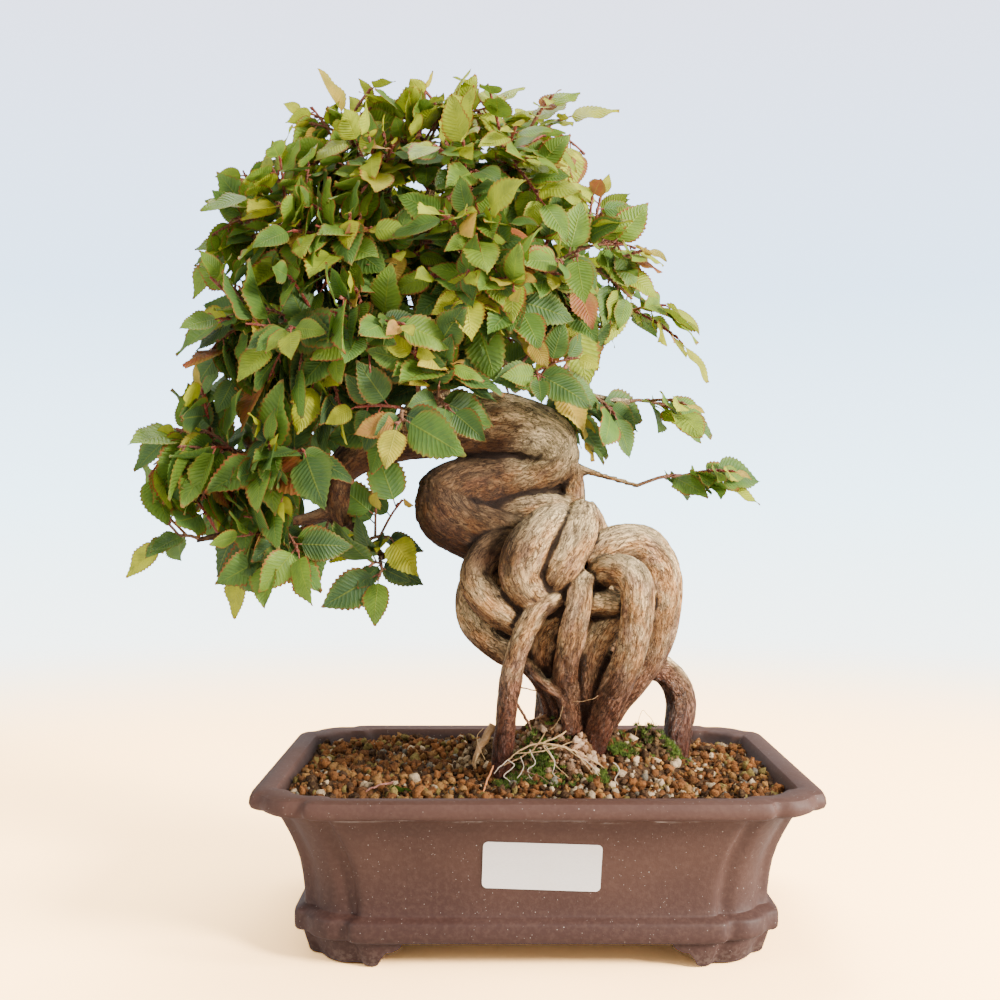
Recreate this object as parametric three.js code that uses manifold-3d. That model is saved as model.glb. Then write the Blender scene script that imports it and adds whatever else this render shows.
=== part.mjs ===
// A Korean hornbeam bonsai in its ceramic pot, in millimetres with z up.
// Everything is drawn round the pot's centre, with z = 0 under the feet, and moved to its origin at the end.

import * as THREE from 'three';
import { mergeVertices } from 'three/addons/utils/BufferGeometryUtils.js';
import Module from 'manifold-3d';

const wasm = await Module();
wasm.setup();

// Pot
const rimHalfWidth = 140;
const rimHalfDepth = 102.5;
const underside = 13;
const floorTop = 20;
const drainHoleRadius = 11;
const drainHoleX = 60;
const footWidth = 15;
const seatGap = 0.3;

// Soil
const soilEdgeLevel = 79;
const moundHeight = 27;
const moundCentre = [20, 8];
const moundRadius = [72, 62];
const grainSize = 13.5;
const grainRelief = 5;

// Drain screens and label
const screenSize = 30;
const screenThickness = 1.2;
const screenHole = 6;
const labelWidth = 57;
const labelHeight = 24;
const labelCentre = [2, 51];
const labelTilt = THREE.MathUtils.degToRad(-2);
const labelThickness = 0.5;

// Crown
const crownCentre = new THREE.Vector3(-55, 30, 345);
const leavesPerSpray = 9;
const twigRadius = 1.25;
const twigTipRadius = 0.65;
const leafThickness = 0.8;
const leafHalfWidth = 0.27;
// Turns about the stem, in radians, and sizes that a leaf is tried at
const leafTrials = [
  [0, 1], [0.45, 1], [-0.45, 1], [0, 0.85], [0.8, 0.9], [-0.8, 0.9], [0.45, 0.8], [-0.45, 0.8], [0, 0.72],
];
const leastOpening = 0.5;
const ribShare = 0.48;
const sideStemsKept = 2;
const footHalfLength = 0.7;
const tipLeafReach = 24;
const shortestSpray = 20;
const up = new THREE.Vector3(0, 0, 1);

// One side of a leaf's edge, as shares of its length and of its half width: shoulder, tooth, notch, tooth
const leafEdge = [[0.3, 0.8], [0.5, 1.12], [0.56, 0.84], [0.8, 0.7]];

// Corner of the pot's plan, as steps in from the rim's square corner: two notches with a lobe between them
const cornerSteps = [
  [38, 0], [31, 1.2], [27.5, 5], [19, 5.8], [11.5, 11], [6.5, 18.5], [1.2, 22], [0, 29],
];

// Half width and height up the outer wall, from the band above the feet to the lip, then down the inside
const outerProfile = [
  [119, underside], [120.5, 16], [120.5, 24.5], [116, 28.5], [118.5, 48], [123, 62], [129, 75],
];
const lipProfile = [
  [137.5, 77], [140, 80], [139, 85], [136, 86], [128, 86],
];
const innerProfile = [
  [126, 79], [120, 72], [110, 42], [106, floorTop],
];

// Wood: each strand is a list of points on its centre line with the radius there, x, y, z, r
const strands = {
  trunkLower: [
    [22, 6, 168, 11], [10, 3, 186, 13], [-6, -4, 200, 15], [-26, -10, 207, 16], [-43, -12, 216, 17],
    [-49, -10, 226, 16], [-52, -8, 234, 11],
  ],
  trunkMiddle: [
    [-56, -9, 222, 10], [-50, -9, 227, 15.5], [-36, -6, 234, 15], [-18, 0, 238, 14], [-2, 4, 242, 13],
    [9, 5, 247, 14], [14, 4, 255, 13], [17, 4, 262, 8],
  ],
  trunkUpper: [
    [17, 4, 243, 9], [12, 4, 253, 14], [6, 2, 261, 16], [-8, -2, 267, 16.5], [-26, -8, 268, 16.5],
    [-46, -12, 265, 15], [-70, -12, 260, 13], [-92, -10, 252, 10.5], [-105, -8, 239, 8.5], [-106, -4, 222, 7],
    [-103, -3, 212, 5],
  ],
  trunkNeck: [[-30, -4, 212, 14], [-12, 2, 217, 14], [6, 5, 219, 13], [20, 6, 220, 9]],
  riser: [[15, 10, 193, 7.5], [21, 8, 215, 6.5], [23, 10, 235, 6], [18, 10, 251, 7.5]],
  core: [[15, 0, 194, 13], [28, -2, 172, 18.5], [36, 0, 150, 14], [34, 2, 123, 8.5]],
  leftCore: [[-10, -14, 200, 11], [-12, -20, 180, 12], [-4, -18, 160, 11], [6, -12, 142, 8]],
  frontLeftRoot: [
    [27, -18, 173, 5], [17, -34, 178, 5.5], [3, -44, 172, 6], [-6, -47, 158, 6], [-11, -46, 143, 6],
    [-14, -42, 124, 5.5], [-16, -34, 105, 5.5], [-18, -27, 83, 5.5],
  ],
  frontRoot: [
    [30, -25, 176, 5], [24, -40, 185, 6], [22, -47, 173, 6.5], [18, -46, 155, 7], [15, -40, 138, 6.5],
    [18, -32, 125, 6], [20, -26, 106, 5],
  ],
  frontRightRoot: [
    [30, -25, 184, 7], [39, -36, 190, 8], [49, -44, 188, 8.5], [52, -47, 177, 8.5], [50, -46, 157, 8.5],
    [46, -42, 142, 8.5], [39, -34, 124, 8.5], [33, -24, 107, 8], [28, -14, 85, 7.5],
  ],
  rightLoop: [
    [28, -22, 192, 9], [38, -20, 201, 10], [52, -14, 203, 10.5], [64, -8, 193, 11], [68, -4, 175, 11],
    [66, 0, 157, 10.5], [61, 5, 139, 9.5], [54, 5, 126, 8], [44, 4, 112, 6.5], [36, 2, 94, 6],
  ],
  outerLoop: [
    [31, -8, 194, 6.5], [47, 2, 205, 8], [63, 10, 202, 9], [73, 14, 188, 9], [75, 14, 168, 8.5],
    [71, 14, 149, 8], [63, 14, 131, 6.5],
  ],
  rightRoot: [
    [57, 12, 131, 7], [69, 20, 133, 7.5], [79, 25, 126, 8], [84, 26, 113, 8.5], [82, 22, 98, 8.5],
    [79, 20, 81, 8],
  ],
  leftLoop: [
    [-18, -5, 194, 6.5], [-31, -12, 184, 7.5], [-35, -20, 170, 7.5], [-29, -28, 158, 7.5],
    [-16, -30, 148, 7.5], [-2, -26, 141, 7], [7, -16, 125, 6], [12, -8, 103, 5.5],
  ],
  leftInnerLoop: [
    [-1, -12, 202, 8], [-15, -22, 203, 8.5], [-26, -30, 197, 8.5], [-31, -36, 186, 8.5], [-25, -40, 175, 8.5],
    [-15, -38, 167, 8], [-3, -30, 159, 7],
  ],
  topLoop: [
    [15, -20, 217, 9], [5, -34, 212, 11], [-4, -42, 201, 11.5], [-8, -44, 189, 11], [-3, -42, 179, 9.5],
    [8, -34, 173, 8],
  ],
  topInnerLoop: [
    [26, -16, 220, 8], [23, -31, 211, 9.5], [18, -40, 200, 10], [12, -41, 190, 9.5], [7, -32, 181, 7],
  ],
  backStrand: [[28, 0, 224, 5], [32, 0, 216, 6.5], [36, 0, 202, 7], [38, -4, 188, 7]],
  crossRoot: [
    [48, -30, 172, 7], [37, -36, 173, 7], [26, -36, 172, 7], [16, -34, 168, 7.5], [8, -32, 159, 8],
    [5, -30, 147, 8], [9, -26, 134, 7.5], [14, -20, 118, 6.5], [17, -14, 98, 5.5],
  ],
  innerRoot: [
    [47, -24, 164, 8], [37, -31, 160, 8.5], [30, -33, 149, 8.5], [28, -31, 136, 8], [27, -26, 122, 7.5],
    [25, -18, 99, 6],
  ],
  thinRoot: [
    [-7, -30, 147, 3.5], [1, -36, 136, 3.5], [8, -38, 130, 3.5], [13, -36, 126, 3.5], [16, -32, 116, 3],
    [18, -28, 104, 3],
  ],
  backLeftRoot: [[15, 10, 149, 8], [8, 10, 127, 6.5], [7, 8, 114, 6], [6, 6, 95, 5.5]],
  backRightRoot: [[43, 20, 159, 9], [39, 30, 136, 8], [32, 38, 117, 6.5], [28, 40, 94, 6]],
};

// Main limbs of the crown, in the same form
const limbs = {
  leader: [
    [-46, -10, 267, 6], [-51, -8, 288, 5.5], [-56, -5, 310, 5], [-61, -2, 332, 4.5], [-66, 2, 352, 4],
    [-62, 6, 375, 3.5], [-56, 8, 397, 2.5], [-51, 8, 419, 2],
  ],
  rightLow: [
    [-54, -8, 299, 3], [-34, -16, 305, 2.5], [-8, -20, 295, 2], [22, -14, 284, 2], [52, -8, 279, 1.5],
  ],
  rightMid: [
    [-60, -4, 328, 4], [-42, -18, 338, 3], [-20, -24, 348, 2.5], [6, -22, 352, 2], [30, -15, 346, 1.5],
  ],
  rightBack: [[-58, -2, 319, 4], [-41, 22, 335, 3], [-12, 45, 347, 2.5], [26, 58, 339, 2]],
  back: [[-64, 0, 341, 4], [-74, 38, 360, 3], [-84, 72, 383, 2]],
  leftHigh: [[-65, 0, 346, 4], [-85, -12, 357, 3], [-111, -18, 367, 2.5], [-140, -15, 373, 2]],
  leftMid: [[-56, -5, 308, 4], [-78, -28, 311, 3], [-105, -38, 314, 2.5], [-139, -35, 317, 1.5]],
  leftBack: [[-85, -8, 256, 4.5], [-101, 22, 280, 3.5], [-128, 50, 301, 3], [-161, 70, 315, 2]],
  endLeft: [[-105, -8, 240, 4.5], [-124, -20, 244, 3], [-146, -28, 248, 2.5], [-172, -28, 258, 1.5]],
  endDown: [[-105, -4, 222, 4.5], [-122, -12, 216, 3], [-148, -18, 211, 2.5], [-180, -15, 205, 1.5]],
  endBack: [[-105, -4, 226, 4], [-114, 28, 218, 3], [-131, 60, 213, 2]],
  endRight: [[-104, -4, 222, 4.5], [-94, 6, 206, 2.5], [-82, 14, 194, 2]],
  frontDrop: [[-49, -9, 280, 3], [-55, -38, 282, 2.5], [-66, -62, 270, 1.5]],
  topRight: [[-62, 6, 372, 2.5], [-41, -4, 393, 2.5], [-14, -10, 410, 1.5]],
  topLeft: [[-64, 5, 366, 2.5], [-81, 0, 392, 2.5], [-99, 0, 416, 1.5]],
  rightTwig: [[16, 8, 247, 4], [34, 8, 241, 1.8], [59, 8, 234, 1.5]],
};

// Sprays: the limb that carries it, how far along that limb it starts, and the place of its tip
const sprays = [
  ['leader', 0.98, -39, 0, 459],
  ['leader', 0.9, -73, -22, 445],
  ['leader', 0.5, -84, -66, 338],
  ['topRight', 0.97, 36, -5, 446],
  ['topRight', 0.85, -6, 22, 459],
  ['topRight', 0.6, 15, -48, 408],
  ['topRight', 0.4, -22, -66, 397],
  ['topRight', 0.8, 14, -18, 380],
  ['topLeft', 0.97, -105, 0, 442],
  ['topLeft', 0.85, -134, -12, 424],
  ['topLeft', 0.45, -82, -62, 399],
  ['topLeft', 0.5, -114, -24, 394],
  ['leftHigh', 0.97, -166, -12, 390],
  ['leftHigh', 0.75, -142, -62, 384],
  ['leftHigh', 0.4, -106, -80, 346],
  ['leftHigh', 0.88, -190, -12, 350],
  ['leftHigh', 0.6, -142, -58, 340],
  ['leftMid', 0.97, -168, -44, 325],
  ['leftMid', 0.7, -145, -84, 296],
  ['leftMid', 0.4, -88, -100, 304],
  ['leftMid', 0.85, -186, -30, 296],
  ['leftBack', 0.97, -190, 92, 339],
  ['leftBack', 0.7, -165, 108, 358],
  ['leftBack', 0.85, -168, 56, 280],
  ['endLeft', 0.97, -210, -26, 264],
  ['endLeft', 0.75, -180, -62, 243],
  ['endLeft', 0.45, -137, -84, 242],
  ['endDown', 0.97, -222, -16, 203],
  ['endLeft', 0.65, -186, 16, 226],
  ['endDown', 0.7, -160, -22, 168],
  ['endDown', 0.45, -140, -60, 183],
  ['endBack', 0.95, -160, 94, 203],
  ['leftMid', 0.55, -122, -66, 268],
  ['endRight', 0.6, -66, -16, 208],
  ['endRight', 0.95, -84, -18, 176],
  ['frontDrop', 0.95, -70, -92, 256],
  ['frontDrop', 0.6, -28, -66, 262],
  ['rightLow', 0.98, 98, -8, 272],
  ['rightLow', 0.8, 52, -28, 264],
  ['rightLow', 0.5, 27, -54, 277],
  ['rightLow', 0.65, 38, 14, 254],
  ['rightMid', 0.97, 60, -12, 350],
  ['rightMid', 0.88, 50, -8, 392],
  ['rightMid', 0.75, 34, -52, 324],
  ['rightMid', 0.5, -2, -78, 308],
  ['rightMid', 0.2, -30, -92, 322],
  ['rightMid', 0.35, -27, -88, 362],
  ['rightBack', 0.98, 104, 22, 311],
  ['rightBack', 0.75, 50, 84, 357],
  ['rightBack', 0.55, 27, 104, 388],
  ['frontDrop', 0.35, -62, -76, 292],
  ['back', 0.95, -96, 122, 408],
  ['back', 0.7, -40, 108, 420],
  ['rightTwig', 0.97, 124, 4, 238],
];

// Materials
const materials = {
  ceramic: { color: 0x694f48, roughness: 0.72, metalness: 0 },
  soil: { color: 0x8a5a33, roughness: 1, metalness: 0 },
  bark: { color: 0x9b7d5c, roughness: 0.9, metalness: 0 },
  leaf: { color: 0x5d8a33, roughness: 0.55, metalness: 0 },
  paper: { color: 0xf6ece2, roughness: 0.8, metalness: 0 },
  plastic: { color: 0x2c2c2a, roughness: 0.6, metalness: 0 },
};

// A repeatable draw between 0 and 1
function chance(seed) {
  const value = Math.sin(seed * 12.9898) * 43758.5453;
  return value - Math.floor(value);
}

// A closed geometry as a solid, with its faces turned outward
function solidOf(geometry) {
  const bare = geometry.index ? geometry.clone() : geometry;
  bare.deleteAttribute('normal');
  bare.deleteAttribute('uv');
  const merged = mergeVertices(bare, 1e-4);
  const vertProperties = Float32Array.from(merged.attributes.position.array);
  const corners = [];
  const index = merged.index.array;
  for (let i = 0; i < index.length; i += 3) {
    const [a, b, c] = [index[i], index[i + 1], index[i + 2]];
    if (a !== b && b !== c && c !== a) {
      corners.push(a, b, c);
    }
  }
  if (signedVolume(vertProperties, corners) < 0) {
    corners.reverse();
  }
  const mesh = new wasm.Mesh({ numProp: 3, vertProperties, triVerts: Uint32Array.from(corners) });
  return new wasm.Manifold(mesh);
}

function signedVolume(points, corners) {
  const corner = (i) => new THREE.Vector3().fromArray(points, corners[i] * 3);
  let volume = 0;
  for (let i = 0; i < corners.length; i += 3) {
    volume += corner(i).dot(corner(i + 1).cross(corner(i + 2)));
  }
  return volume / 6;
}

// The largest body of a solid, without loose scraps or sealed hollows
function mainBody(solid) {
  return solid.decompose().reduce((best, body) => (body.volume() > best.volume() ? body : best));
}

function unionOf(solids) {
  return solids.reduce((sum, solid) => sum.add(solid));
}

function geometryOf(solid) {
  const { vertProperties, triVerts } = solid.getMesh();
  const geometry = new THREE.BufferGeometry();
  geometry.setAttribute('position', new THREE.BufferAttribute(vertProperties, 3));
  geometry.setIndex(new THREE.BufferAttribute(triVerts, 1));
  geometry.computeVertexNormals();
  return geometry;
}

const bonsai = new THREE.Group();

function addPart(name, solid, finish) {
  const mesh = new THREE.Mesh(geometryOf(mainBody(solid)), new THREE.MeshStandardMaterial(finish));
  mesh.name = name;
  bonsai.add(mesh);
}

// Plan of the pot, once round from the middle of the front
function planOf(halfWidth, halfDepth) {
  const corner = (x, y) => cornerSteps.map(([dx, dy]) => [x * (halfWidth - dx), y * (halfDepth - dy)]);
  return [
    ...corner(1, -1), ...corner(1, 1).reverse(), ...corner(-1, 1), ...corner(-1, -1).reverse(),
  ];
}

// A lathe turned on the pot's plan in place of a circle: the profile's radius is the half width there
function plannedSolid(profile) {
  const columns = cornerSteps.length * 4;
  const geometry = new THREE.LatheGeometry(profile.map(([r, z]) => new THREE.Vector2(r, z)), columns);
  const position = geometry.attributes.position;
  for (let i = 0; i < position.count; i += 1) {
    const [halfWidth, z] = profile[i % profile.length];
    const column = Math.floor(i / profile.length) % columns;
    const plan = planOf(halfWidth, halfWidth - rimHalfWidth + rimHalfDepth);
    const [x, y] = halfWidth === 0 ? [0, 0] : plan[column];
    position.setXYZ(i, x, y, z);
  }
  return solidOf(geometry);
}

// A flat outline extruded along y through the whole pot, centred on it
function throughPot(points, depth) {
  const outline = new THREE.Shape(points.map(([x, y]) => new THREE.Vector2(x, y)));
  const geometry = new THREE.ExtrudeGeometry(outline, { depth, bevelEnabled: false });
  geometry.translate(0, 0, -depth / 2);
  geometry.rotateX(Math.PI / 2);
  return geometry;
}

// The gap under the pot between two feet, with cloud-shaped ends
function footGap(halfLength) {
  const end = [[-16, -2], [-12, 1.6], [-8, 7.6], [-2, 9.6], [0, underside]];
  const right = end.map(([dx, z]) => [halfLength - dx, z]);
  const left = end.map(([dx, z]) => [dx - halfLength, z]).reverse();
  return [...right, ...left];
}

function buildPot() {
  const shell = plannedSolid([
    [0, underside], ...outerProfile, ...lipProfile, ...innerProfile, [0, floorTop],
  ]);
  const footTop = underside + 1.5;
  const outer = plannedSolid([[0, 0], [113, 0], [117, underside - 1], [117, footTop], [0, footTop]]);
  const inner = plannedSolid([[0, -1], [113 - footWidth, -1], [117 - footWidth, underside], [0, underside]]);
  const frontGap = solidOf(throughPot(footGap(65), 300));
  const sideGap = solidOf(throughPot(footGap(30), 300).rotateZ(Math.PI / 2));
  const feet = outer.subtract(inner).subtract(frontGap).subtract(sideGap);
  let pot = shell.add(feet);
  for (const side of [-1, 1]) {
    const hole = new THREE.CylinderGeometry(drainHoleRadius, drainHoleRadius, 30, 16);
    hole.rotateX(Math.PI / 2);
    hole.translate(side * drainHoleX, 0, floorTop);
    pot = pot.subtract(solidOf(hole));
  }
  return pot;
}

function curveThrough(points) {
  return new THREE.CatmullRomCurve3(points, false, 'catmullrom', 0.5);
}

// A rounded branch or root along its strand, grown by a clearance where a neighbour is cut to fit it
function strandSolid(points, sides, steps, clearance) {
  const curve = curveThrough(points.map(([x, y, z]) => new THREE.Vector3(x, y, z)));
  const frames = curve.computeFrenetFrames(steps, false);
  // Corners stand out far enough for a flat-sided ring to hold as much wood as a round one
  const fullness = Math.sqrt(2 * Math.PI / (sides * Math.sin(2 * Math.PI / sides)));
  const geometry = new THREE.CylinderGeometry(1, 1, 1, sides, steps);
  const position = geometry.attributes.position;
  for (let i = 0; i < position.count; i += 1) {
    const step = steps - Math.round((position.getY(i) + 0.5) * steps);
    const along = curve.getUtoTmapping(step / steps) * (points.length - 1);
    const before = Math.min(Math.floor(along), points.length - 2);
    const girth = THREE.MathUtils.lerp(points[before][3], points[before + 1][3], along - before);
    const radius = girth * fullness + clearance;
    const place = curve.getPointAt(step / steps);
    place.addScaledVector(frames.normals[step], position.getX(i) * radius);
    place.addScaledVector(frames.binormals[step], position.getZ(i) * radius);
    if (step === 0 || step === steps) {
      place.addScaledVector(frames.tangents[step], step === 0 ? -clearance : clearance);
    }
    position.setXYZ(i, place.x, place.y, place.z);
  }
  return solidOf(geometry);
}

function buildWood(clearance) {
  const pieces = [...Object.values(strands), ...Object.values(limbs)].map((points) => {
    const thickest = Math.max(...points.map((point) => point[3]));
    const sides = 4 + Math.min(4, Math.round(thickest / 4.5));
    return strandSolid(points, sides, points.length - 1, clearance);
  });
  return unionOf(pieces);
}

// Height of the soil: level by the walls, with a mound under the roots
function soilLevel(x, y) {
  const away = Math.hypot((x - moundCentre[0]) / moundRadius[0], (y - moundCentre[1]) / moundRadius[1]);
  return soilEdgeLevel + moundHeight * THREE.MathUtils.smoothstep(1 - away, 0, 1);
}

function buildSoil(roots) {
  const bed = plannedSolid([
    [0, floorTop + seatGap],
    ...innerProfile.slice().reverse().map(([r, z]) => [r - seatGap - 0.05, z + seatGap]),
    [126.6, 84], [126.6, 130], [0, 130],
  ]);
  const [width, depth] = [2 * rimHalfWidth - 16, 2 * rimHalfDepth - 10];
  const [columns, rows] = [Math.round(width / grainSize), Math.round(depth / grainSize)];
  const block = new THREE.BoxGeometry(width, depth, 60, columns, rows, 1);
  const position = block.attributes.position;
  for (let i = 0; i < position.count; i += 1) {
    if (position.getZ(i) > 0) {
      const column = Math.round((position.getX(i) / width + 0.5) * columns);
      const row = Math.round((position.getY(i) / depth + 0.5) * rows);
      const seed = column * 37 + row * 91;
      const x = position.getX(i) + (chance(seed) - 0.5) * grainRelief;
      const y = position.getY(i) + (chance(seed + 1) - 0.5) * grainRelief;
      position.setXYZ(i, x, y, soilLevel(x, y) + (chance(seed + 2) - 0.5) * grainRelief);
    } else {
      position.setZ(i, 10);
    }
  }
  let soil = bed.intersect(solidOf(block)).subtract(roots);
  for (const side of [-1, 1]) {
    const pocket = new THREE.BoxGeometry(screenSize + 0.8, screenSize + 0.8, 2 * (screenThickness + 0.7));
    pocket.translate(side * drainHoleX, 0, floorTop);
    soil = soil.subtract(solidOf(pocket));
  }
  return soil;
}

// A square of plastic mesh over a drain hole
function buildScreen(side) {
  const pitch = screenSize / 3.4;
  let screen = solidOf(new THREE.BoxGeometry(screenSize, screenSize, screenThickness));
  for (const column of [-1, 0, 1]) {
    for (const row of [-1, 0, 1]) {
      const hole = new THREE.BoxGeometry(screenHole, screenHole, 3 * screenThickness);
      screen = screen.subtract(solidOf(hole.translate(column * pitch, row * pitch, 0)));
    }
  }
  return screen.translate(side * drainHoleX, 0, floorTop + seatGap + screenThickness / 2);
}

// A blank paper label, cut out of a thin skin that follows the front wall
function buildLabel() {
  const skin = (grow) => plannedSolid([
    [0, 32], [116.5 + grow, 32], [118.5 + grow, 48], [123 + grow, 62], [129 + grow, 75], [0, 75],
  ]);
  const [w, h, r] = [labelWidth / 2, labelHeight / 2, 2.5];
  const corners = [[w, h], [-w, h], [-w, -h], [w, -h]];
  const outline = new THREE.Shape();
  corners.forEach(([x, y], i) => {
    const start = i * Math.PI / 2;
    outline.absarc(x - Math.sign(x) * r, y - Math.sign(y) * r, r, start, start + Math.PI / 2);
  });
  const geometry = new THREE.ExtrudeGeometry(outline, { depth: 60, bevelEnabled: false, curveSegments: 3 });
  geometry.rotateX(Math.PI / 2);
  geometry.rotateY(-labelTilt);
  geometry.translate(labelCentre[0], -60, labelCentre[1]);
  return skin(seatGap + labelThickness).subtract(skin(seatGap)).intersect(solidOf(geometry));
}

function mix(...pairs) {
  return pairs.reduce((sum, [vector, weight]) => sum.addScaledVector(vector, weight), new THREE.Vector3());
}

// A place on a stem with its directions: along the stem, to its right, and up from its ridge
function frameAt({ curve, side }, share) {
  const place = curve.getPoint(share);
  const tangent = curve.getTangent(share);
  const across = side.clone().addScaledVector(tangent, -side.dot(tangent)).normalize();
  return { place, tangent, across, top: across.clone().cross(tangent) };
}

// The stems of one spray: its main twig and the side twigs that leave it, left and right in turn
function stemsOf(number, [limb, start, ...tip]) {
  const limbCurve = curveThrough(limbs[limb].map(([x, y, z]) => new THREE.Vector3(x, y, z)));
  const base = limbCurve.getPoint(start);
  const reach = new THREE.Vector3(...tip).sub(base);
  reach.setLength(Math.max(shortestSpray, reach.length() - tipLeafReach));
  const end = reach.clone().add(base);
  const length = reach.length();
  const side = reach.clone().cross(up).normalize();
  const lift = length * (0.06 + 0.08 * chance(number * 7 + 1));
  const sway = length * 0.14 * (chance(number * 7 + 2) - 0.5);
  const curve = curveThrough([
    base,
    mix([base, 1], [reach, 0.35], [up, lift], [side, sway]),
    mix([base, 1], [reach, 0.7], [up, lift * 0.8], [side, -sway]),
    end,
  ]);
  const main = { curve, length, side, radius: twigRadius, tipRadius: twigTipRadius, shoots: [] };
  const stems = [main];
  const count = Math.min(4, Math.floor(length / 22));
  for (let k = 0; k < count; k += 1) {
    const seed = number * 31 + k * 5;
    const share = 0.3 + 0.52 * (k + 0.6 * chance(seed)) / count;
    const { place: from, tangent, top } = frameAt(main, share);
    const out = from.clone().sub(crownCentre).normalize();
    const turn = (k + number) % 2 === 0 ? 1 : -1;
    const sideLength = 20 + 12 * chance(seed + 1);
    const rise = 0.1 + 0.3 * chance(seed + 2);
    const aim = mix([tangent, 0.7], [side, 0.8 * turn], [up, rise], [out, 0.3]).normalize();
    const middle = mix([from, 1], [aim, sideLength * 0.5], [up, 1.5]);
    stems.push({
      curve: curveThrough([from, middle, mix([from, 1], [aim, sideLength])]),
      length: sideLength,
      side: aim.clone().cross(top).normalize(),
      radius: twigRadius * 0.8,
      tipRadius: twigTipRadius,
      shoots: [],
      share,
      turn,
    });
  }
  return stems;
}

// Where the leaves of one stem go: one at its tip, then left and right in turn back towards its base
function leavesOf(stem, seedBase) {
  const leaves = [];
  const count = Math.max(3, Math.round(stem.length / 9));
  for (let k = 0; k <= count; k += 1) {
    const share = 1 - 0.78 * k / (count + 1);
    const seed = seedBase + k * 11;
    const { place: from, tangent, across, top } = frameAt(stem, share);
    const out = from.clone().sub(crownCentre).normalize();
    const turn = k === 0 ? 0 : (k % 2) * 2 - 1;
    const rise = 0.05 - 0.55 * chance(seed);
    const along = mix(
      [tangent, 0.6], [across, 1.1 * turn], [up, rise], [out, 0.25 * chance(seed + 1)],
    ).normalize();
    const [x, y, z] = [2, 3, 4].map((step) => chance(seed + step) - 0.5);
    const face = mix([up, 0.35], [out, 1], [new THREE.Vector3(x, y, z), 0.9]).normalize();
    // The blade is held off the stem's sides, so that it never folds back through its own foot
    const hinge = turn === 0 ? top : along.clone().cross(tangent).multiplyScalar(turn).normalize();
    face.addScaledVector(hinge, Math.max(0, leastOpening - face.dot(hinge)));
    const width = along.clone().cross(face).normalize();
    const size = (28 + 12 * chance(seed + 5)) * (from.z > 415 ? 0.85 : 1);
    leaves.push({ share, turn, from, tangent, along, width, size, order: k });
  }
  return leaves;
}

// A triangular ring of corners round a stem: its ridge, then the lower corners on its left and its right
function ringAt(points, stem, share) {
  const { place, across, top } = frameAt(stem, share);
  const radius = THREE.MathUtils.lerp(stem.radius, stem.tipRadius, share);
  const first = points.length;
  points.push(
    mix([place, 1], [top, radius]),
    mix([place, 1], [top, -0.5 * radius], [across, -0.87 * radius]),
    mix([place, 1], [top, -0.5 * radius], [across, 0.87 * radius]),
  );
  return [first, first + 1, first + 2];
}

// The wall of a stem between two rings, left open at the side where something grows out of it
function wall(corners, back, front, openSide) {
  [0, 1, 2].forEach((i) => {
    const j = (i + 1) % 3;
    if (i !== openSide) {
      corners.push([back[i], back[j], front[j]], [back[i], front[j], front[i]]);
    }
  });
}

// The edge of a leaf, from its right shoulder round the tip to its left shoulder
function leafOutline({ from, along, width, size }, grow) {
  const face = width.clone().cross(along);
  const at = (u, v, w) => (
    mix([from, 1], [along, u * size], [width, v * size], [face, w - 0.14 * size * u * u])
  );
  const edge = leafEdge.map(([u, v]) => [u, v * leafHalfWidth + grow / size]);
  return {
    at,
    outline: [
      ...edge.map(([u, v]) => at(u, v, v * size * 0.2)),
      at(1 + grow / size, 0, 0),
      ...edge.slice().reverse().map(([u, v]) => at(u, -v, v * size * 0.2)),
    ],
  };
}

// The two faces of a blade between its outline and a high and a low point on its rib
function bladeFaces(points, corners, leaf, feet) {
  const { at, outline } = leafOutline(leaf, 0);
  const first = points.length;
  const last = first + outline.length - 1;
  const [ribTop, ribUnder] = [last + 1, last + 2];
  points.push(...outline, at(ribShare, 0, leafThickness / 2), at(ribShare, 0, -leafThickness / 2));
  for (let i = first; i < last; i += 1) {
    corners.push([ribTop, i + 1, i], [ribUnder, i, i + 1]);
  }
  feet.top.slice(1).forEach((foot, i) => corners.push([ribTop, feet.top[i], foot]));
  feet.under.slice(1).forEach((foot, i) => corners.push([ribUnder, foot, feet.under[i]]));
  const [rightTop, leftTop] = [feet.top[0], feet.top.at(-1)];
  const [rightUnder, leftUnder] = [feet.under[0], feet.under.at(-1)];
  corners.push([ribTop, first, rightTop], [ribTop, leftTop, last]);
  corners.push([ribUnder, rightUnder, first], [ribUnder, last, leftUnder]);
  if (rightTop !== rightUnder) {
    corners.push([first, rightUnder, rightTop], [last, leftTop, leftUnder]);
  }
}

// A whole stem with what grows on it, from a first ring to its tip
function growStem(points, corners, stem, firstRing) {
  const foot = footHalfLength / stem.length;
  let ring = firstRing;
  const shoots = stem.shoots.slice().sort((a, b) => a.share - b.share);
  shoots.filter((shoot) => shoot.turn !== 0).forEach((shoot) => {
    const back = ringAt(points, stem, shoot.share - foot);
    const front = ringAt(points, stem, shoot.share + foot);
    wall(corners, ring, back, -1);
    wall(corners, back, front, shoot.turn < 0 ? 0 : 2);
    const low = shoot.turn < 0 ? 1 : 2;
    if (shoot.curve) {
      growSideStem(points, corners, shoot, { back, front, low });
    } else {
      const order = shoot.turn < 0 ? [front, back] : [back, front];
      const feet = { top: order.map((at) => at[0]), under: order.map((at) => at[low]) };
      bladeFaces(points, corners, shoot, feet);
    }
    ring = front;
  });
  const end = ringAt(points, stem, 1);
  wall(corners, ring, end, -1);
  const tipLeaf = shoots.find((shoot) => shoot.turn === 0);
  if (tipLeaf) {
    bladeFaces(points, corners, tipLeaf, { top: [end[2], end[0], end[1]], under: [end[2], end[1]] });
  } else {
    corners.push([end[0], end[1], end[2]]);
  }
}

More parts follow.
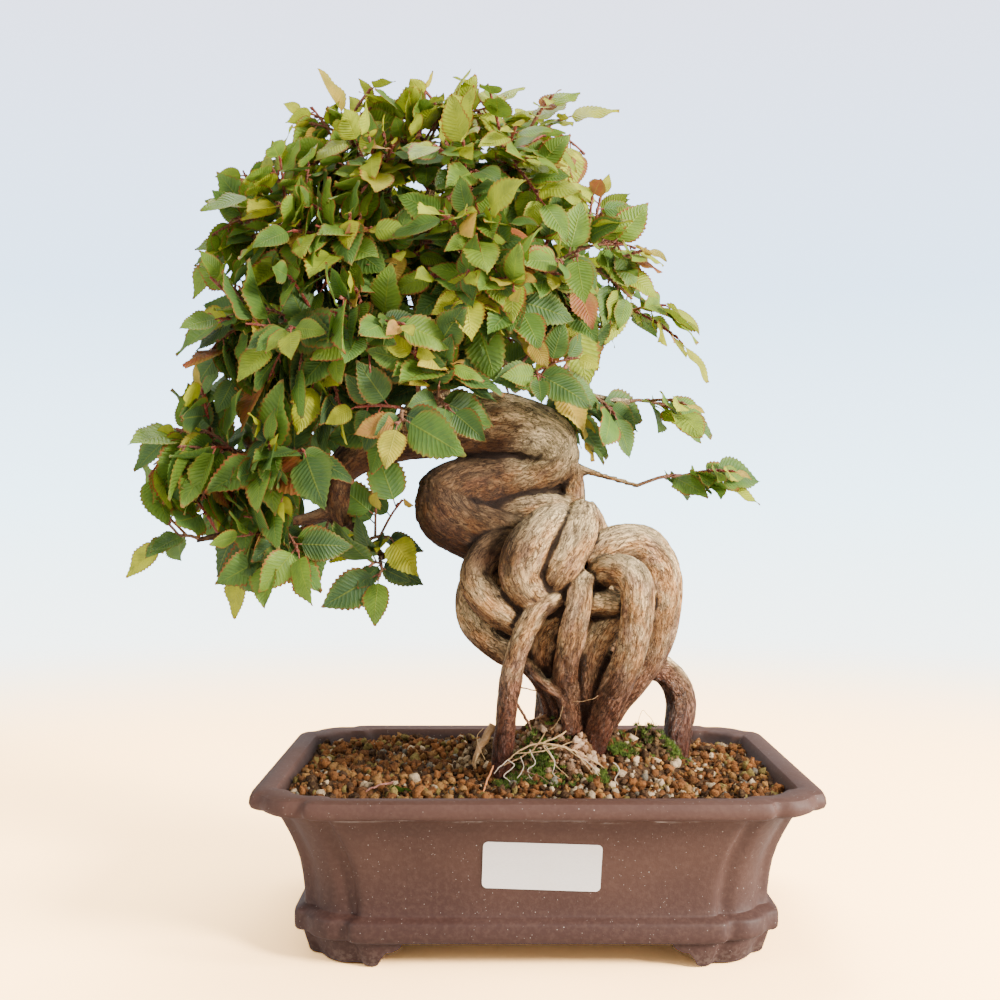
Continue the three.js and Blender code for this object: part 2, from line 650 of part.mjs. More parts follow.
function growSideStem(points, corners, stem, { back, front, low }) {
  const ring = ringAt(points, stem, 2 / stem.length);
  const [frontCorner, backCorner] = stem.turn < 0 ? [ring[2], ring[1]] : [ring[1], ring[2]];
  const faces = [
    [back[0], front[0], ring[0]],
    [front[0], front[low], frontCorner],
    [front[0], frontCorner, ring[0]],
    [front[low], back[low], backCorner],
    [front[low], backCorner, frontCorner],
    [back[low], back[0], ring[0]],
    [back[low], ring[0], backCorner],
  ];
  corners.push(...(stem.turn < 0 ? faces.map((face) => face.slice().reverse()) : faces));
  growStem(points, corners, stem, ring);
}

// A spray's stems and leaves as one closed skin
function skinOf(main) {
  const points = [];
  const corners = [];
  const first = ringAt(points, main, 0);
  corners.push([first[0], first[2], first[1]]);
  growStem(points, corners, main, first);
  return { points, corners };
}

function spraySolid(main) {
  const { points, corners } = skinOf(main);
  const geometry = new THREE.BufferGeometry().setFromPoints(points);
  geometry.setIndex(corners.flat());
  return solidOf(geometry);
}

// True where an edge of a skin runs through one of its faces
function crossesItself({ points, corners }) {
  const faces = corners.map((ids) => {
    const places = ids.map((id) => points[id]);
    return { ids, places, box: new THREE.Box3().setFromPoints(places) };
  });
  const hit = new THREE.Vector3();
  const pierces = (start, end) => {
    const [from, to] = [points[start], points[end]];
    const box = new THREE.Box3().setFromPoints([from, to]);
    const ray = new THREE.Ray(from, to.clone().sub(from).normalize());
    return faces.some(({ ids, places, box: faceBox }) => (
      faceBox.intersectsBox(box) && !ids.includes(start) && !ids.includes(end)
      && ray.intersectTriangle(...places, false, hit) && hit.distanceTo(from) < from.distanceTo(to)
    ));
  };
  return corners.some((ids) => ids.some((start, i) => {
    const end = ids[(i + 1) % 3];
    return start < end && pierces(start, end);
  }));
}

// Puts a side twig or a leaf on its stem, where the spray that this makes doesn't cross itself
function joins(main, stem, shoot) {
  stem.shoots.push(shoot);
  const clean = !crossesItself(skinOf(main));
  if (!clean) {
    stem.shoots.pop();
  }
  return clean;
}

// A closed blade with a clearance round it, from a share of its length on, to try a leaf's place
function leafTester(leaf, start, grow) {
  const { at, outline } = leafOutline(leaf, grow);
  const ribHeight = leafThickness / 2 + grow;
  const points = [...outline, at(start, 0, 0), at(ribShare, 0, ribHeight), at(ribShare, 0, -ribHeight)];
  const loop = outline.length + 1;
  const corners = [];
  for (let i = 0; i < loop; i += 1) {
    const j = (i + 1) % loop;
    corners.push(i, j, loop, j, i, loop + 1);
  }
  const geometry = new THREE.BufferGeometry().setFromPoints(points);
  geometry.setIndex(corners);
  return solidOf(geometry);
}

function stemTester({ curve, radius, length }, from, grow) {
  const steps = length > 45 ? 6 : 3;
  const points = [];
  for (let i = 0; i <= steps; i += 1) {
    const place = curve.getPoint(from + (1 - from) * i / steps);
    points.push([place.x, place.y, place.z, radius]);
  }
  return strandSolid(points, 5, steps, grow);
}

function boxesMeet(a, b) {
  return [0, 1, 2].every((i) => a.min[i] < b.max[i] && b.min[i] < a.max[i]);
}

function isClear(solid, others) {
  const box = solid.boundingBox();
  return others.every((other) => !boxesMeet(box, other.box) || solid.intersect(other.solid).isEmpty());
}

function taken(solid, owner) {
  return { solid, box: solid.boundingBox(), owner };
}

// True where what grows on a spray, drawn from a distance off its foot, crosses nothing there already
function fitsAmong(places, owner, draw) {
  const own = places.filter((place) => place.owner === owner);
  const foreign = places.filter((place) => place.owner !== owner);
  return isClear(draw(3), own) && isClear(draw(0), foreign);
}

// A leaf turned about its stem and scaled
function turnedLeaf(leaf, angle, scale) {
  const along = leaf.along.clone().applyAxisAngle(leaf.tangent, angle);
  const width = leaf.width.clone().applyAxisAngle(leaf.tangent, angle);
  return { ...leaf, along, width, size: leaf.size * scale };
}

// Leaves added to a spray's stems from the tips inward, each at the first turn and size that crosses nothing
function addLeaves(stems, owner, places) {
  const leaves = stems.flatMap((stem, k) => (
    leavesOf(stem, owner * 400 + k * 80).map((leaf) => ({ ...leaf, stem }))
  ));
  leaves.sort((a, b) => a.order - b.order);
  let count = 0;
  leaves.forEach(({ stem, ...leaf }) => {
    const spacing = 3 / stem.length;
    const apart = leaf.turn === 0 || stem.shoots.every((shoot) => (
      shoot.turn === 0 || Math.abs(shoot.share - leaf.share) > spacing
    ));
    if (count < leavesPerSpray && apart) {
      const fits = leafTrials.map(([turn, scale]) => turnedLeaf(leaf, turn, scale)).find((tried) => (
        fitsAmong(places, owner, (start) => leafTester(tried, start / tried.size, seatGap))
        && joins(stems[0], stem, tried)
      ));
      if (fits) {
        places.push(taken(leafTester(fits, 0, seatGap), owner));
        count += 1;
      }
    }
  });
}

// All sprays: main twigs first, then side twigs, then leaves, each where it crosses nothing
function buildSprays(wood) {
  const grown = sprays.map((spray, number) => stemsOf(number + 1, spray));
  const places = [taken(wood, 'wood')];
  grown.forEach(([main], owner) => {
    places.push(taken(stemTester(main, 0, seatGap).subtract(wood), owner));
  });
  grown.forEach(([main, ...sideStems], owner) => {
    const clear = sideStems.filter((stem) => (
      fitsAmong(places, owner, (start) => stemTester(stem, start / stem.length, seatGap))
    ));
    clear.slice(0, sideStemsKept).filter((stem) => joins(main, main, stem)).forEach((stem) => {
      places.push(taken(stemTester(stem, 0, seatGap), owner));
    });
  });
  grown.forEach(([main], owner) => {
    const stems = [main, ...main.shoots];
    addLeaves(stems, owner, places);
    const finished = places.filter((place) => place.owner === 'done');
    let solid = spraySolid(main).subtract(wood);
    while (!isClear(solid, finished) && stems.some((stem) => stem.shoots.length > 0)) {
      stems.findLast((stem) => stem.shoots.length > 0).shoots.pop();
      solid = spraySolid(main).subtract(wood);
    }
    places.push(taken(solid, 'done'));
    addPart(`spray_${String(owner + 1).padStart(2, '0')}`, solid, materials.leaf);
  });
}

const woodWithGap = buildWood(seatGap);
addPart('pot', buildPot(), materials.ceramic);
addPart('soil', buildSoil(woodWithGap), materials.soil);
addPart('trunk', buildWood(0), materials.bark);
addPart('drain_screen_left', buildScreen(-1), materials.plastic);
addPart('drain_screen_right', buildScreen(1), materials.plastic);
addPart('label', buildLabel(), materials.paper);
buildSprays(woodWithGap);

// The origin is the middle of the whole part's foot print, on the surface that it stands on
const extent = new THREE.Box3().setFromObject(bonsai);
const middle = extent.getCenter(new THREE.Vector3());
bonsai.position.set(-middle.x, -middle.y, -extent.min.z);

export default bonsai;
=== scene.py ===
# Dresses the Korean hornbeam bonsai: bark, leafy sprays, soil, moss, pot and blank label, in a pale studio.
# Sizes and places are in millimetres round the pot's centre, until a piece is written in the frame's metres.
import math
import random

import bmesh
import bpy
import numpy as np
from mathutils import Matrix, Vector, noise
from mathutils.bvhtree import BVHTree


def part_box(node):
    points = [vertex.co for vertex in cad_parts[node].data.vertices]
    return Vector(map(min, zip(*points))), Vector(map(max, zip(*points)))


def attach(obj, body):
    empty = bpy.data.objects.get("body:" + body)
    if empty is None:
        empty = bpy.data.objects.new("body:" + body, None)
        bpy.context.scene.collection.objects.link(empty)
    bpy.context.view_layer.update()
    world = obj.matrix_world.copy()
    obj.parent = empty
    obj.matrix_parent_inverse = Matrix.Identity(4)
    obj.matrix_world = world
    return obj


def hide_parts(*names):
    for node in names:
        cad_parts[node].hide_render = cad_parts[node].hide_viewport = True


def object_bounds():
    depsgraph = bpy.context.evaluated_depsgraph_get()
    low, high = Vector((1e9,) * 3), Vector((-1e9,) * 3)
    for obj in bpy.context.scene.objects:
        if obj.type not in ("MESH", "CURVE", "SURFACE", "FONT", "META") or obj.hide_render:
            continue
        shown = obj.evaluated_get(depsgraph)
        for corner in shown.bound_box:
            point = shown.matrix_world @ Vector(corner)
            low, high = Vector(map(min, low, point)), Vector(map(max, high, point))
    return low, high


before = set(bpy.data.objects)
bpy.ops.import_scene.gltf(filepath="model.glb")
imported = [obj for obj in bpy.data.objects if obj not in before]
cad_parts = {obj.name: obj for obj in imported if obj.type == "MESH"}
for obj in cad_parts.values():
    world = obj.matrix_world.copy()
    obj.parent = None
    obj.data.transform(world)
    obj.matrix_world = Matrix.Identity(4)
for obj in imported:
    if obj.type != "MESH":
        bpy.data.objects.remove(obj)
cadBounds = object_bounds()
print("frame loaded:", len(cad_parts), "nodes")

millimetre = 0.001
potLow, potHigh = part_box("pot")
potCentre = Vector(((potLow.x + potHigh.x) / 2, (potLow.y + potHigh.y) / 2, 0))
toFrame = Matrix.Translation(potCentre) @ Matrix.Scale(millimetre, 4)
toPot = toFrame.inverted()


# Camera: level, in front of the pot and a little left of its middle
cameraLook = {"place": (-18.1, -685.0, 226.4), "lens": 45.3, "sensor": 36.0}
cameraData = bpy.data.cameras.new("camera")
cameraData.lens = cameraLook["lens"]
cameraData.sensor_width = cameraLook["sensor"]
camera = bpy.data.objects.new("camera", cameraData)
camera.location = toFrame @ Vector(cameraLook["place"])
camera.rotation_euler = (math.pi / 2, 0, 0)
bpy.context.scene.collection.objects.link(camera)
bpy.context.scene.camera = camera


# Points on a smooth curve through rows of numbers, at shares from 0 to 1 counted in rows
def curveAt(rows, shares):
    rows = np.asarray(rows, float)
    ends = 2 * rows[[0, -1]] - rows[[1, -2]]
    padded = np.vstack([ends[:1], rows, ends[1:]])
    place = np.clip(np.asarray(shares, float), 0, 1) * (len(rows) - 1)
    index = np.minimum(place.astype(int), len(rows) - 2)
    t = (place - index)[:, None]
    a, b, c, d = (padded[index + k] for k in range(4))
    return 0.5 * (2 * b + (c - a) * t + (2 * a - 5 * b + 4 * c - d) * t**2 + (3 * b - a - 3 * c + d) * t**3)


def unit(vector):
    return vector / np.linalg.norm(vector)


# A repeatable draw between 0 and 1, the same as the solids use
def chance(seed):
    value = math.sin(seed * 12.9898) * 43758.5453
    return value - math.floor(value)


# A screen colour, with each part from 0 to 255, as the linear one that materials take
def linear(*parts):
    return tuple(part / 255 / 12.92 if part < 11 else ((part / 255 + 0.055) / 1.055) ** 2.4 for part in parts)


# Collects copies of small shapes into one mesh with a tone, a map and a finish for each
class Heap:
    def __init__(self):
        self.points, self.tones, self.maps = [], [], []
        self.faces, self.finishes = [], []
        self.count = 0

    def add(self, points, faces, tone=(1, 1, 1), spots=None, finish=0, edge=0.0):
        size = len(points)
        self.points.append(points)
        self.tones.append(np.column_stack([np.broadcast_to(tone, (size, 3)), np.full(size, edge)]))
        self.maps.append(np.zeros((size, 2)) if spots is None else spots)
        start = self.count
        self.faces.extend([[start + i for i in face] for face in faces])
        self.finishes.extend([finish] * len(faces))
        self.count += size

    def write(self, name, materials):
        mesh = bpy.data.meshes.new(name)
        points = np.vstack(self.points)
        mesh.from_pydata(points.tolist(), [], self.faces)
        mesh.transform(toFrame)
        layer = mesh.color_attributes.new(name="tone", type="FLOAT_COLOR", domain="POINT")
        layer.data.foreach_set("color", np.vstack(self.tones).ravel())
        corners = np.zeros(len(mesh.loops), int)
        mesh.loops.foreach_get("vertex_index", corners)
        spots = mesh.uv_layers.new(name="spots")
        spots.data.foreach_set("uv", np.vstack(self.maps)[corners].ravel())
        mesh.polygons.foreach_set("material_index", self.finishes)
        mesh.polygons.foreach_set("use_smooth", [True] * len(mesh.polygons))
        return placePiece(name, mesh, materials)


# Puts a mesh that is already in the frame's metres into the scene as a piece of the one body
def placePiece(name, mesh, materials):
    for material in materials:
        mesh.materials.append(material)
    mesh.update()
    piece = bpy.data.objects.new(name, mesh)
    bpy.context.scene.collection.objects.link(piece)
    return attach(piece, "root")


# Points and faces of a bmesh, to be copied many times
def shapeOf(bm):
    bm.verts.index_update()
    points = np.array([vertex.co[:] for vertex in bm.verts])
    faces = [[vertex.index for vertex in face.verts] for face in bm.faces]
    bm.free()
    return points, faces


# A closed tube along each path of x, y, z and radius, as a plain mesh
def tubeMesh(paths, roundness):
    curve = bpy.data.curves.new("tubes", "CURVE")
    curve.dimensions = "3D"
    curve.bevel_depth = 1.0
    curve.bevel_resolution = roundness
    curve.use_fill_caps = True
    for rows in paths:
        spline = curve.splines.new("POLY")
        spline.points.add(len(rows) - 1)
        spline.points.foreach_set("co", np.hstack([rows[:, :3], np.ones((len(rows), 1))]).ravel())
        spline.points.foreach_set("radius", rows[:, 3])
    holder = bpy.data.objects.new("tubes", curve)
    mesh = bpy.data.meshes.new_from_object(holder)
    bpy.data.objects.remove(holder)
    bpy.data.curves.remove(curve)
    return mesh


def meshArrays(mesh):
    points = np.zeros(len(mesh.vertices) * 3)
    mesh.vertices.foreach_get("co", points)
    faces = [list(polygon.vertices) for polygon in mesh.polygons]
    bpy.data.meshes.remove(mesh)
    return points.reshape(-1, 3), faces


# The mesh of an object with its modifiers applied; the object is taken out
def appliedMesh(holder):
    bpy.context.view_layer.update()
    graph = bpy.context.evaluated_depsgraph_get()
    mesh = bpy.data.meshes.new_from_object(holder.evaluated_get(graph))
    bpy.data.objects.remove(holder)
    return mesh


# Materials: short ways to write nodes
def newMaterial(name, roughness, specular=0.4):
    material = bpy.data.materials.new(name)
    material.use_nodes = True
    shader = material.node_tree.nodes["Principled BSDF"]
    shader.inputs["Roughness"].default_value = roughness
    shader.inputs["Specular IOR Level"].default_value = specular
    return material, material.node_tree, shader


def addNode(tree, kind, inputs, output=0, **settings):
    made = tree.nodes.new(kind)
    for key, value in settings.items():
        setattr(made, key, value)
    for key, value in inputs.items():
        if isinstance(value, bpy.types.NodeSocket):
            tree.links.new(value, made.inputs[key])
        else:
            made.inputs[key].default_value = value
    return made.outputs[output]


def placeOf(tree, stretch=(1, 1, 1)):
    place = addNode(tree, "ShaderNodeTexCoord", {}, "Object")
    return addNode(tree, "ShaderNodeMapping", {"Vector": place, "Scale": stretch})


def noiseOf(tree, place, scale, detail=4.0, rough=0.55, warp=0.0):
    inputs = {"Vector": place, "Scale": scale, "Detail": detail, "Roughness": rough, "Distortion": warp}
    return addNode(tree, "ShaderNodeTexNoise", inputs)


def cellsOf(tree, place, scale, feature="F1"):
    inputs = {"Vector": place, "Scale": scale}
    return addNode(tree, "ShaderNodeTexVoronoi", inputs, "Distance", feature=feature)


def rangeOf(tree, value, low, high, start=0.0, end=1.0):
    inputs = {"Value": value, "From Min": low, "From Max": high, "To Min": start, "To Max": end}
    return addNode(tree, "ShaderNodeMapRange", inputs, interpolation_type="SMOOTHSTEP")


def mathOf(tree, operation, a, b=0.0):
    return addNode(tree, "ShaderNodeMath", {0: a, 1: b}, operation=operation)


def timesOf(tree, a, b):
    return mathOf(tree, "MULTIPLY", a, b)


# How strongly a value lies between a rising and a falling edge
def bandOf(tree, value, rise, fall):
    return timesOf(tree, rangeOf(tree, value, *rise), rangeOf(tree, value, *fall))


def mixOf(tree, share, a, b):
    a, b = (value if isinstance(value, bpy.types.NodeSocket) else (*value, 1.0) for value in (a, b))
    inputs = {"Factor": share, 6: a, 7: b}
    return addNode(tree, "ShaderNodeMix", inputs, 2, data_type="RGBA")


def bumpOf(tree, height, distance, strength=1.0, below=None):
    inputs = {"Height": height, "Distance": distance, "Strength": strength}
    if below is not None:
        inputs["Normal"] = below
    return addNode(tree, "ShaderNodeBump", inputs)


def attributeOf(tree, name, output):
    return addNode(tree, "ShaderNodeAttribute", {}, output, attribute_name=name)


# Wood: strands and limbs as rows of x, y, z and radius
strands = {
    "trunkLower": [
        (22, 6, 168, 11), (10, 3, 186, 13), (-6, -4, 200, 15), (-26, -10, 207, 16), (-43, -12, 216, 17),
        (-49, -10, 226, 16), (-52, -8, 234, 11),
    ],
    "trunkMiddle": [
        (-56, -9, 222, 10), (-50, -9, 227, 15.5), (-36, -6, 234, 15), (-18, 0, 238, 14), (-2, 4, 242, 13),
        (9, 5, 247, 14), (14, 4, 255, 13), (17, 4, 262, 8),
    ],
    "trunkUpper": [
        (17, 4, 243, 9), (12, 4, 253, 14), (6, 2, 261, 16), (-8, -2, 267, 16.5), (-26, -8, 268, 16.5),
        (-46, -12, 265, 15), (-70, -12, 260, 13), (-92, -10, 252, 10.5), (-105, -8, 239, 8.5),
        (-106, -4, 222, 7), (-103, -3, 212, 5),
    ],
    "trunkNeck": [
        (-42, -11, 214, 10), (-30, -4, 212, 14), (-12, 2, 217, 14), (6, 5, 219, 13), (20, 6, 220, 9),
    ],
    "riser": [
        (14, 3, 181, 7), (15, 10, 193, 7.5), (21, 8, 215, 7), (21, 10, 235, 7.5), (17, 10, 251, 7.5),
    ],
    "core": [(15, 0, 194, 13), (28, -2, 172, 18.5), (36, 0, 150, 14), (34, 2, 123, 8.5)],
    "leftCore": [(-10, -14, 200, 11), (-12, -20, 180, 12), (-9, -18, 160, 12.5), (4, -12, 142, 9)],
    "knot": [(24, 4, 190, 8), (44, 0, 182, 9), (60, -3, 174, 8)],
    "frontLeftRoot": [
        (27, -18, 173, 5), (17, -34, 178, 5.5), (3, -44, 172, 6), (-6, -47, 158, 6), (-11, -46, 143, 6),
        (-14, -42, 124, 5.5), (-16, -34, 105, 5.5), (-18, -27, 83, 5.5),
    ],
    "frontRoot": [
        (30, -25, 176, 5), (24, -40, 185, 6), (22, -47, 173, 6.5), (18, -46, 155, 7), (15, -40, 138, 6.5),
        (18, -32, 125, 6), (20, -26, 106, 5),
    ],
    "frontRightRoot": [
        (30, -25, 184, 7), (39, -36, 190, 8), (49, -44, 188, 8.5), (52, -47, 177, 8.5), (50, -46, 157, 8.5),
        (46, -42, 142, 8.5), (39, -34, 124, 8.5), (33, -24, 107, 8), (28, -14, 85, 7.5),
    ],
    "rightLoop": [
        (28, -22, 192, 9), (38, -20, 201, 10), (52, -14, 203, 10.5), (64, -8, 193, 11), (68, -4, 175, 11),
        (66, 0, 157, 10.5), (61, 5, 139, 9.5), (54, 5, 126, 8), (44, 4, 112, 6.5), (36, 2, 94, 6),
    ],
    "outerLoop": [
        (31, -8, 194, 6.5), (47, 2, 205, 8), (63, 10, 202, 9), (73, 14, 188, 9), (75, 14, 168, 8.5),
        (71, 14, 149, 8), (63, 14, 131, 6.5),
    ],
    "rightRoot": [
        (57, 12, 131, 7), (69, 20, 133, 7.5), (79, 25, 126, 8), (84, 26, 113, 8.5), (82, 22, 98, 8.5),
        (79, 20, 81, 8),
    ],
    "leftLoop": [
        (-18, -5, 194, 6.5), (-31, -12, 184, 7.5), (-35, -20, 170, 7.5), (-29, -28, 158, 7.5),
        (-16, -30, 148, 7.5), (-2, -26, 141, 7), (7, -16, 125, 6), (12, -8, 103, 5.5),
    ],
    "leftInnerLoop": [
        (-1, -12, 202, 8), (-15, -22, 203, 8.5), (-26, -30, 197, 8.5), (-31, -36, 186, 8.5),
        (-25, -40, 175, 8.5), (-15, -38, 167, 8), (-3, -30, 159, 7),
    ],
    "topLoop": [
        (15, -20, 217, 9), (5, -34, 212, 11), (-4, -42, 201, 11.5), (-8, -44, 189, 11), (-3, -42, 179, 9.5),
        (8, -34, 173, 8),
    ],
    "topInnerLoop": [
        (26, -16, 220, 8), (23, -31, 211, 9.5), (18, -40, 200, 10), (12, -41, 190, 9.5), (7, -32, 181, 7),
    ],
    "backStrand": [(28, 0, 224, 5), (32, 0, 216, 6.5), (36, 0, 202, 7), (38, -4, 188, 7)],
    "crossRoot": [
        (60, -12, 178, 6), (54, -22, 173, 7), (48, -30, 172, 7), (37, -36, 173, 7), (26, -36, 172, 7),
        (16, -34, 168, 7.5), (8, -32, 159, 8), (5, -30, 147, 8), (9, -26, 134, 7.5), (14, -20, 118, 6.5),
        (17, -14, 98, 5.5),
    ],
    "innerRoot": [
        (60, -6, 166, 7), (55, -17, 165, 7.5), (47, -24, 164, 8), (37, -31, 160, 8.5), (30, -33, 149, 8.5),
        (28, -31, 136, 8), (27, -26, 122, 7.5), (25, -18, 99, 6),
    ],
    "thinRoot": [
        (-7, -30, 147, 3.5), (1, -36, 136, 3.5), (8, -38, 130, 3.5), (13, -36, 126, 3.5), (16, -32, 116, 3),
        (18, -28, 104, 3),
    ],
    "backLeftRoot": [(26, 2, 160, 9), (15, 10, 149, 8), (8, 10, 127, 6.5), (7, 8, 114, 6), (6, 6, 95, 5.5)],
    "backRightRoot": [
        (38, 4, 176, 8), (43, 16, 169, 9), (43, 22, 157, 9), (39, 30, 136, 8), (32, 38, 117, 6.5),
        (28, 40, 94, 6),
    ],
}
limbs = {
    "leader": [
        (-46, -10, 267, 6), (-51, -8, 288, 5.5), (-56, -5, 310, 5), (-61, -2, 332, 4.5), (-66, 2, 352, 4),
        (-62, 6, 375, 3.5), (-56, 8, 397, 2.5), (-51, 8, 419, 2),
    ],
    "rightLow": [
        (-54, -8, 299, 3), (-34, -16, 305, 2.5), (-8, -20, 295, 2), (22, -14, 284, 2), (52, -8, 279, 1.5),
    ],
    "rightMid": [
        (-60, -4, 328, 4), (-42, -18, 338, 3), (-20, -24, 348, 2.5), (6, -22, 352, 2), (30, -15, 346, 1.5),
    ],
    "rightBack": [(-58, -2, 319, 4), (-41, 22, 335, 3), (-12, 45, 347, 2.5), (26, 58, 339, 2)],
    "back": [(-64, 0, 341, 4), (-74, 38, 360, 3), (-84, 72, 383, 2)],
    "leftHigh": [(-65, 0, 346, 4), (-85, -12, 357, 3), (-111, -18, 367, 2.5), (-140, -15, 373, 2)],
    "leftMid": [(-56, -5, 308, 4), (-78, -28, 311, 3), (-105, -38, 314, 2.5), (-139, -35, 317, 1.5)],
    "leftBack": [(-85, -8, 256, 4.5), (-101, 22, 280, 3.5), (-128, 50, 301, 3), (-161, 70, 315, 2)],
    "endLeft": [(-105, -8, 240, 4.5), (-124, -20, 244, 3), (-146, -28, 248, 2.5), (-172, -28, 258, 1.5)],
    "endDown": [(-105, -4, 222, 4.5), (-122, -12, 216, 3), (-148, -18, 211, 2.5), (-180, -15, 205, 1.5)],
    "endBack": [(-105, -4, 226, 4), (-114, 28, 218, 3), (-131, 60, 213, 2)],
    "endRight": [(-104, -4, 222, 4.5), (-94, 6, 206, 2.5), (-82, 14, 194, 2)],
    "frontDrop": [(-49, -9, 280, 3), (-55, -38, 282, 2.5), (-66, -62, 270, 1.5)],
    "topRight": [(-62, 6, 372, 2.5), (-41, -4, 393, 2.5), (-14, -10, 410, 1.5)],
    "topLeft": [(-64, 5, 366, 2.5), (-81, 0, 392, 2.5), (-99, 0, 416, 1.5)],
    "rightTwig": [(16, 8, 247, 4), (34, 8, 241, 1.8), (59, 8, 234, 1.5)],
}
woodLook = {
    "step": 4.0, "voxel": 1.35, "roundness": 6, "stretch": 0.3,
    "swell": 0.65, "swellWidth": 7.5, "crack": 0.6, "crackWidth": 4.2, "crackSlope": 4.5, "raised": 0.15,
    "girth": 0.09, "girthWidth": 16, "strandOffset": 317, "hollowRounds": 6, "hollowDepth": 0.55,
    "smoothFrom": 275, "smoothOver": 60, "smoothest": 0.75,
}


# A strand cut into short steps, with its girth wandering a little
def fineStrand(rows, seed):
    rows = np.asarray(rows, float)
    length = np.linalg.norm(np.diff(rows[:, :3], axis=0), axis=1).sum()
    fine = curveAt(rows, np.linspace(0, 1, max(4, round(length / woodLook["step"]))))
    for row in fine:
        wander = noise.noise(Vector(row[:3]) / woodLook["girthWidth"] + Vector((seed, 0, 0)))
        row[3] *= 1 + woodLook["girth"] * wander
    return fine


# Directions along a fine strand: forward, and two across it that turn as little as they can
def strandFrames(fine):
    forward = np.gradient(fine[:, :3], axis=0)
    forward /= np.linalg.norm(forward, axis=1)[:, None]
    across = [unit(np.cross(forward[0], (0.31, 0.84, 0.45)))]
    for direction in forward[1:]:
        across.append(unit(across[-1] - direction * (across[-1] @ direction)))
    across = np.array(across)
    return forward, across, np.cross(forward, across)


# Where points lie in the grain of the strand nearest to them: two ways across it, then along it.
# The points are worked through a few thousand at a time, to save memory.
def grainOf(points, paths):
    samples, directions, starts = [], [], []
    for number, fine in enumerate(paths):
        forward, across, over = strandFrames(fine)
        steps = np.linalg.norm(np.diff(fine[:, :3], axis=0), axis=1)
        run = np.concatenate([[0], np.cumsum(steps)]) + number * woodLook["strandOffset"]
        samples.append(fine)
        directions.append(np.stack([across, over, forward], axis=1))
        starts.append(run)
    samples, directions, starts = np.vstack(samples), np.vstack(directions), np.concatenate(starts)
    grain = np.zeros((len(points), 3))
    batch = 4000
    for first in range(0, len(points), batch):
        part = points[first:first + batch]
        gaps = np.linalg.norm(part[:, None] - samples[None, :, :3], axis=2) - samples[None, :, 3]
        best = gaps.argmin(axis=1)
        offset = part - samples[best, :3]
        local = np.einsum("nij,nj->ni", directions[best], offset)
        local[:, 2] += starts[best]
        grain[first:first + batch] = local
    return grain


# How far each point lies in a hollow between its neighbours, smoothed over them
def hollowOf(mesh, points, normals, rounds):
    pairs = np.zeros(len(mesh.edges) * 2, int)
    mesh.edges.foreach_get("vertices", pairs)
    a, b = pairs.reshape(-1, 2).T
    degree = np.bincount(np.concatenate([a, b]), minlength=len(points)).clip(1)

    def neighbours(values):
        total = np.zeros_like(values)
        np.add.at(total, a, values[b])
        np.add.at(total, b, values[a])
        return total / (degree[:, None] if values.ndim > 1 else degree)

    smoothed = points
    for _ in range(rounds):
        smoothed = neighbours(smoothed)
    hollow = ((smoothed - points) * normals).sum(axis=1)
    return neighbours(neighbours(hollow))


def buildWood(material):
    paths = [fineStrand(rows, seed) for seed, rows in enumerate([*strands.values(), *limbs.values()])]
    rough = bpy.data.objects.new("wood", tubeMesh(paths, woodLook["roundness"]))
    bpy.context.scene.collection.objects.link(rough)
    remesh = rough.modifiers.new("skin", "REMESH")
    remesh.mode = "VOXEL"
    remesh.voxel_size = woodLook["voxel"]
    mesh = appliedMesh(rough)
    points = np.zeros(len(mesh.vertices) * 3)
    normals = np.zeros(len(mesh.vertices) * 3)
    mesh.vertices.foreach_get("co", points)
    mesh.vertices.foreach_get("normal", normals)
    points, normals = points.reshape(-1, 3), normals.reshape(-1, 3)
    grain = grainOf(points, paths)
    hollow = hollowOf(mesh, points, normals, woodLook["hollowRounds"])
    relief = np.zeros(len(points))
    squeeze = np.array([1, 1, woodLook["stretch"]])
    for i, place in enumerate((grain * squeeze).tolist()):
        wide = noise.noise(Vector(place) / woodLook["swellWidth"])
        fine = noise.noise(Vector(place) / woodLook["crackWidth"] + Vector((7, 3, 1)))
        groove = max(0, 1 - abs(fine) * woodLook["crackSlope"])
        relief[i] = woodLook["swell"] * wide - woodLook["crack"] * groove + woodLook["raised"]
    smooth = np.clip((points[:, 2] - woodLook["smoothFrom"]) / woodLook["smoothOver"], 0, 1)
    points = points + normals * (relief * (1 - smooth * woodLook["smoothest"]))[:, None]
    mesh.vertices.foreach_set("co", points.ravel())
    layer = mesh.attributes.new("grain", "FLOAT_VECTOR", "POINT")
    layer.data.foreach_set("vector", grain.ravel())
    # For the bark's colour: how deep in a hollow each point lies and how far it faces up, for painted shade
    # and light, and its relief.
    paintedShading = np.column_stack([np.clip(hollow / woodLook["hollowDepth"], -1, 1), normals[:, 2], relief])
    layer = mesh.attributes.new("paintedShading", "FLOAT_VECTOR", "POINT")
    layer.data.foreach_set("vector", paintedShading.ravel())
    mesh.transform(toFrame)
    mesh.polygons.foreach_set("use_smooth", [True] * len(mesh.polygons))
    piece = placePiece("wood", mesh, [material])
    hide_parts("trunk")
    print("wood:", len(mesh.polygons), "faces")
    return piece


# Bark: cracks along the grain and seams between its plates, tan ridges, and painted shade in the hollows
# between strands. Tops are painted paler and undersides darker as painted shade; the coil of the trunk
# carries painted shade, the bend above it a painted highlight, and the young roots turn wine-brown near the
# soil.
barkColours = {
    "deep": linear(40, 22, 11), "brown": linear(174, 112, 60), "tan": linear(230, 172, 108),
    "pale": linear(252, 212, 154), "mauve": linear(180, 136, 114), "root": linear(80, 34, 28),
    "rootPale": linear(180, 124, 98), "paintedUnderShade": linear(116, 76, 38), "paintedShade": linear(80, 42, 15),
    "paintedLight": linear(254, 228, 176),
}
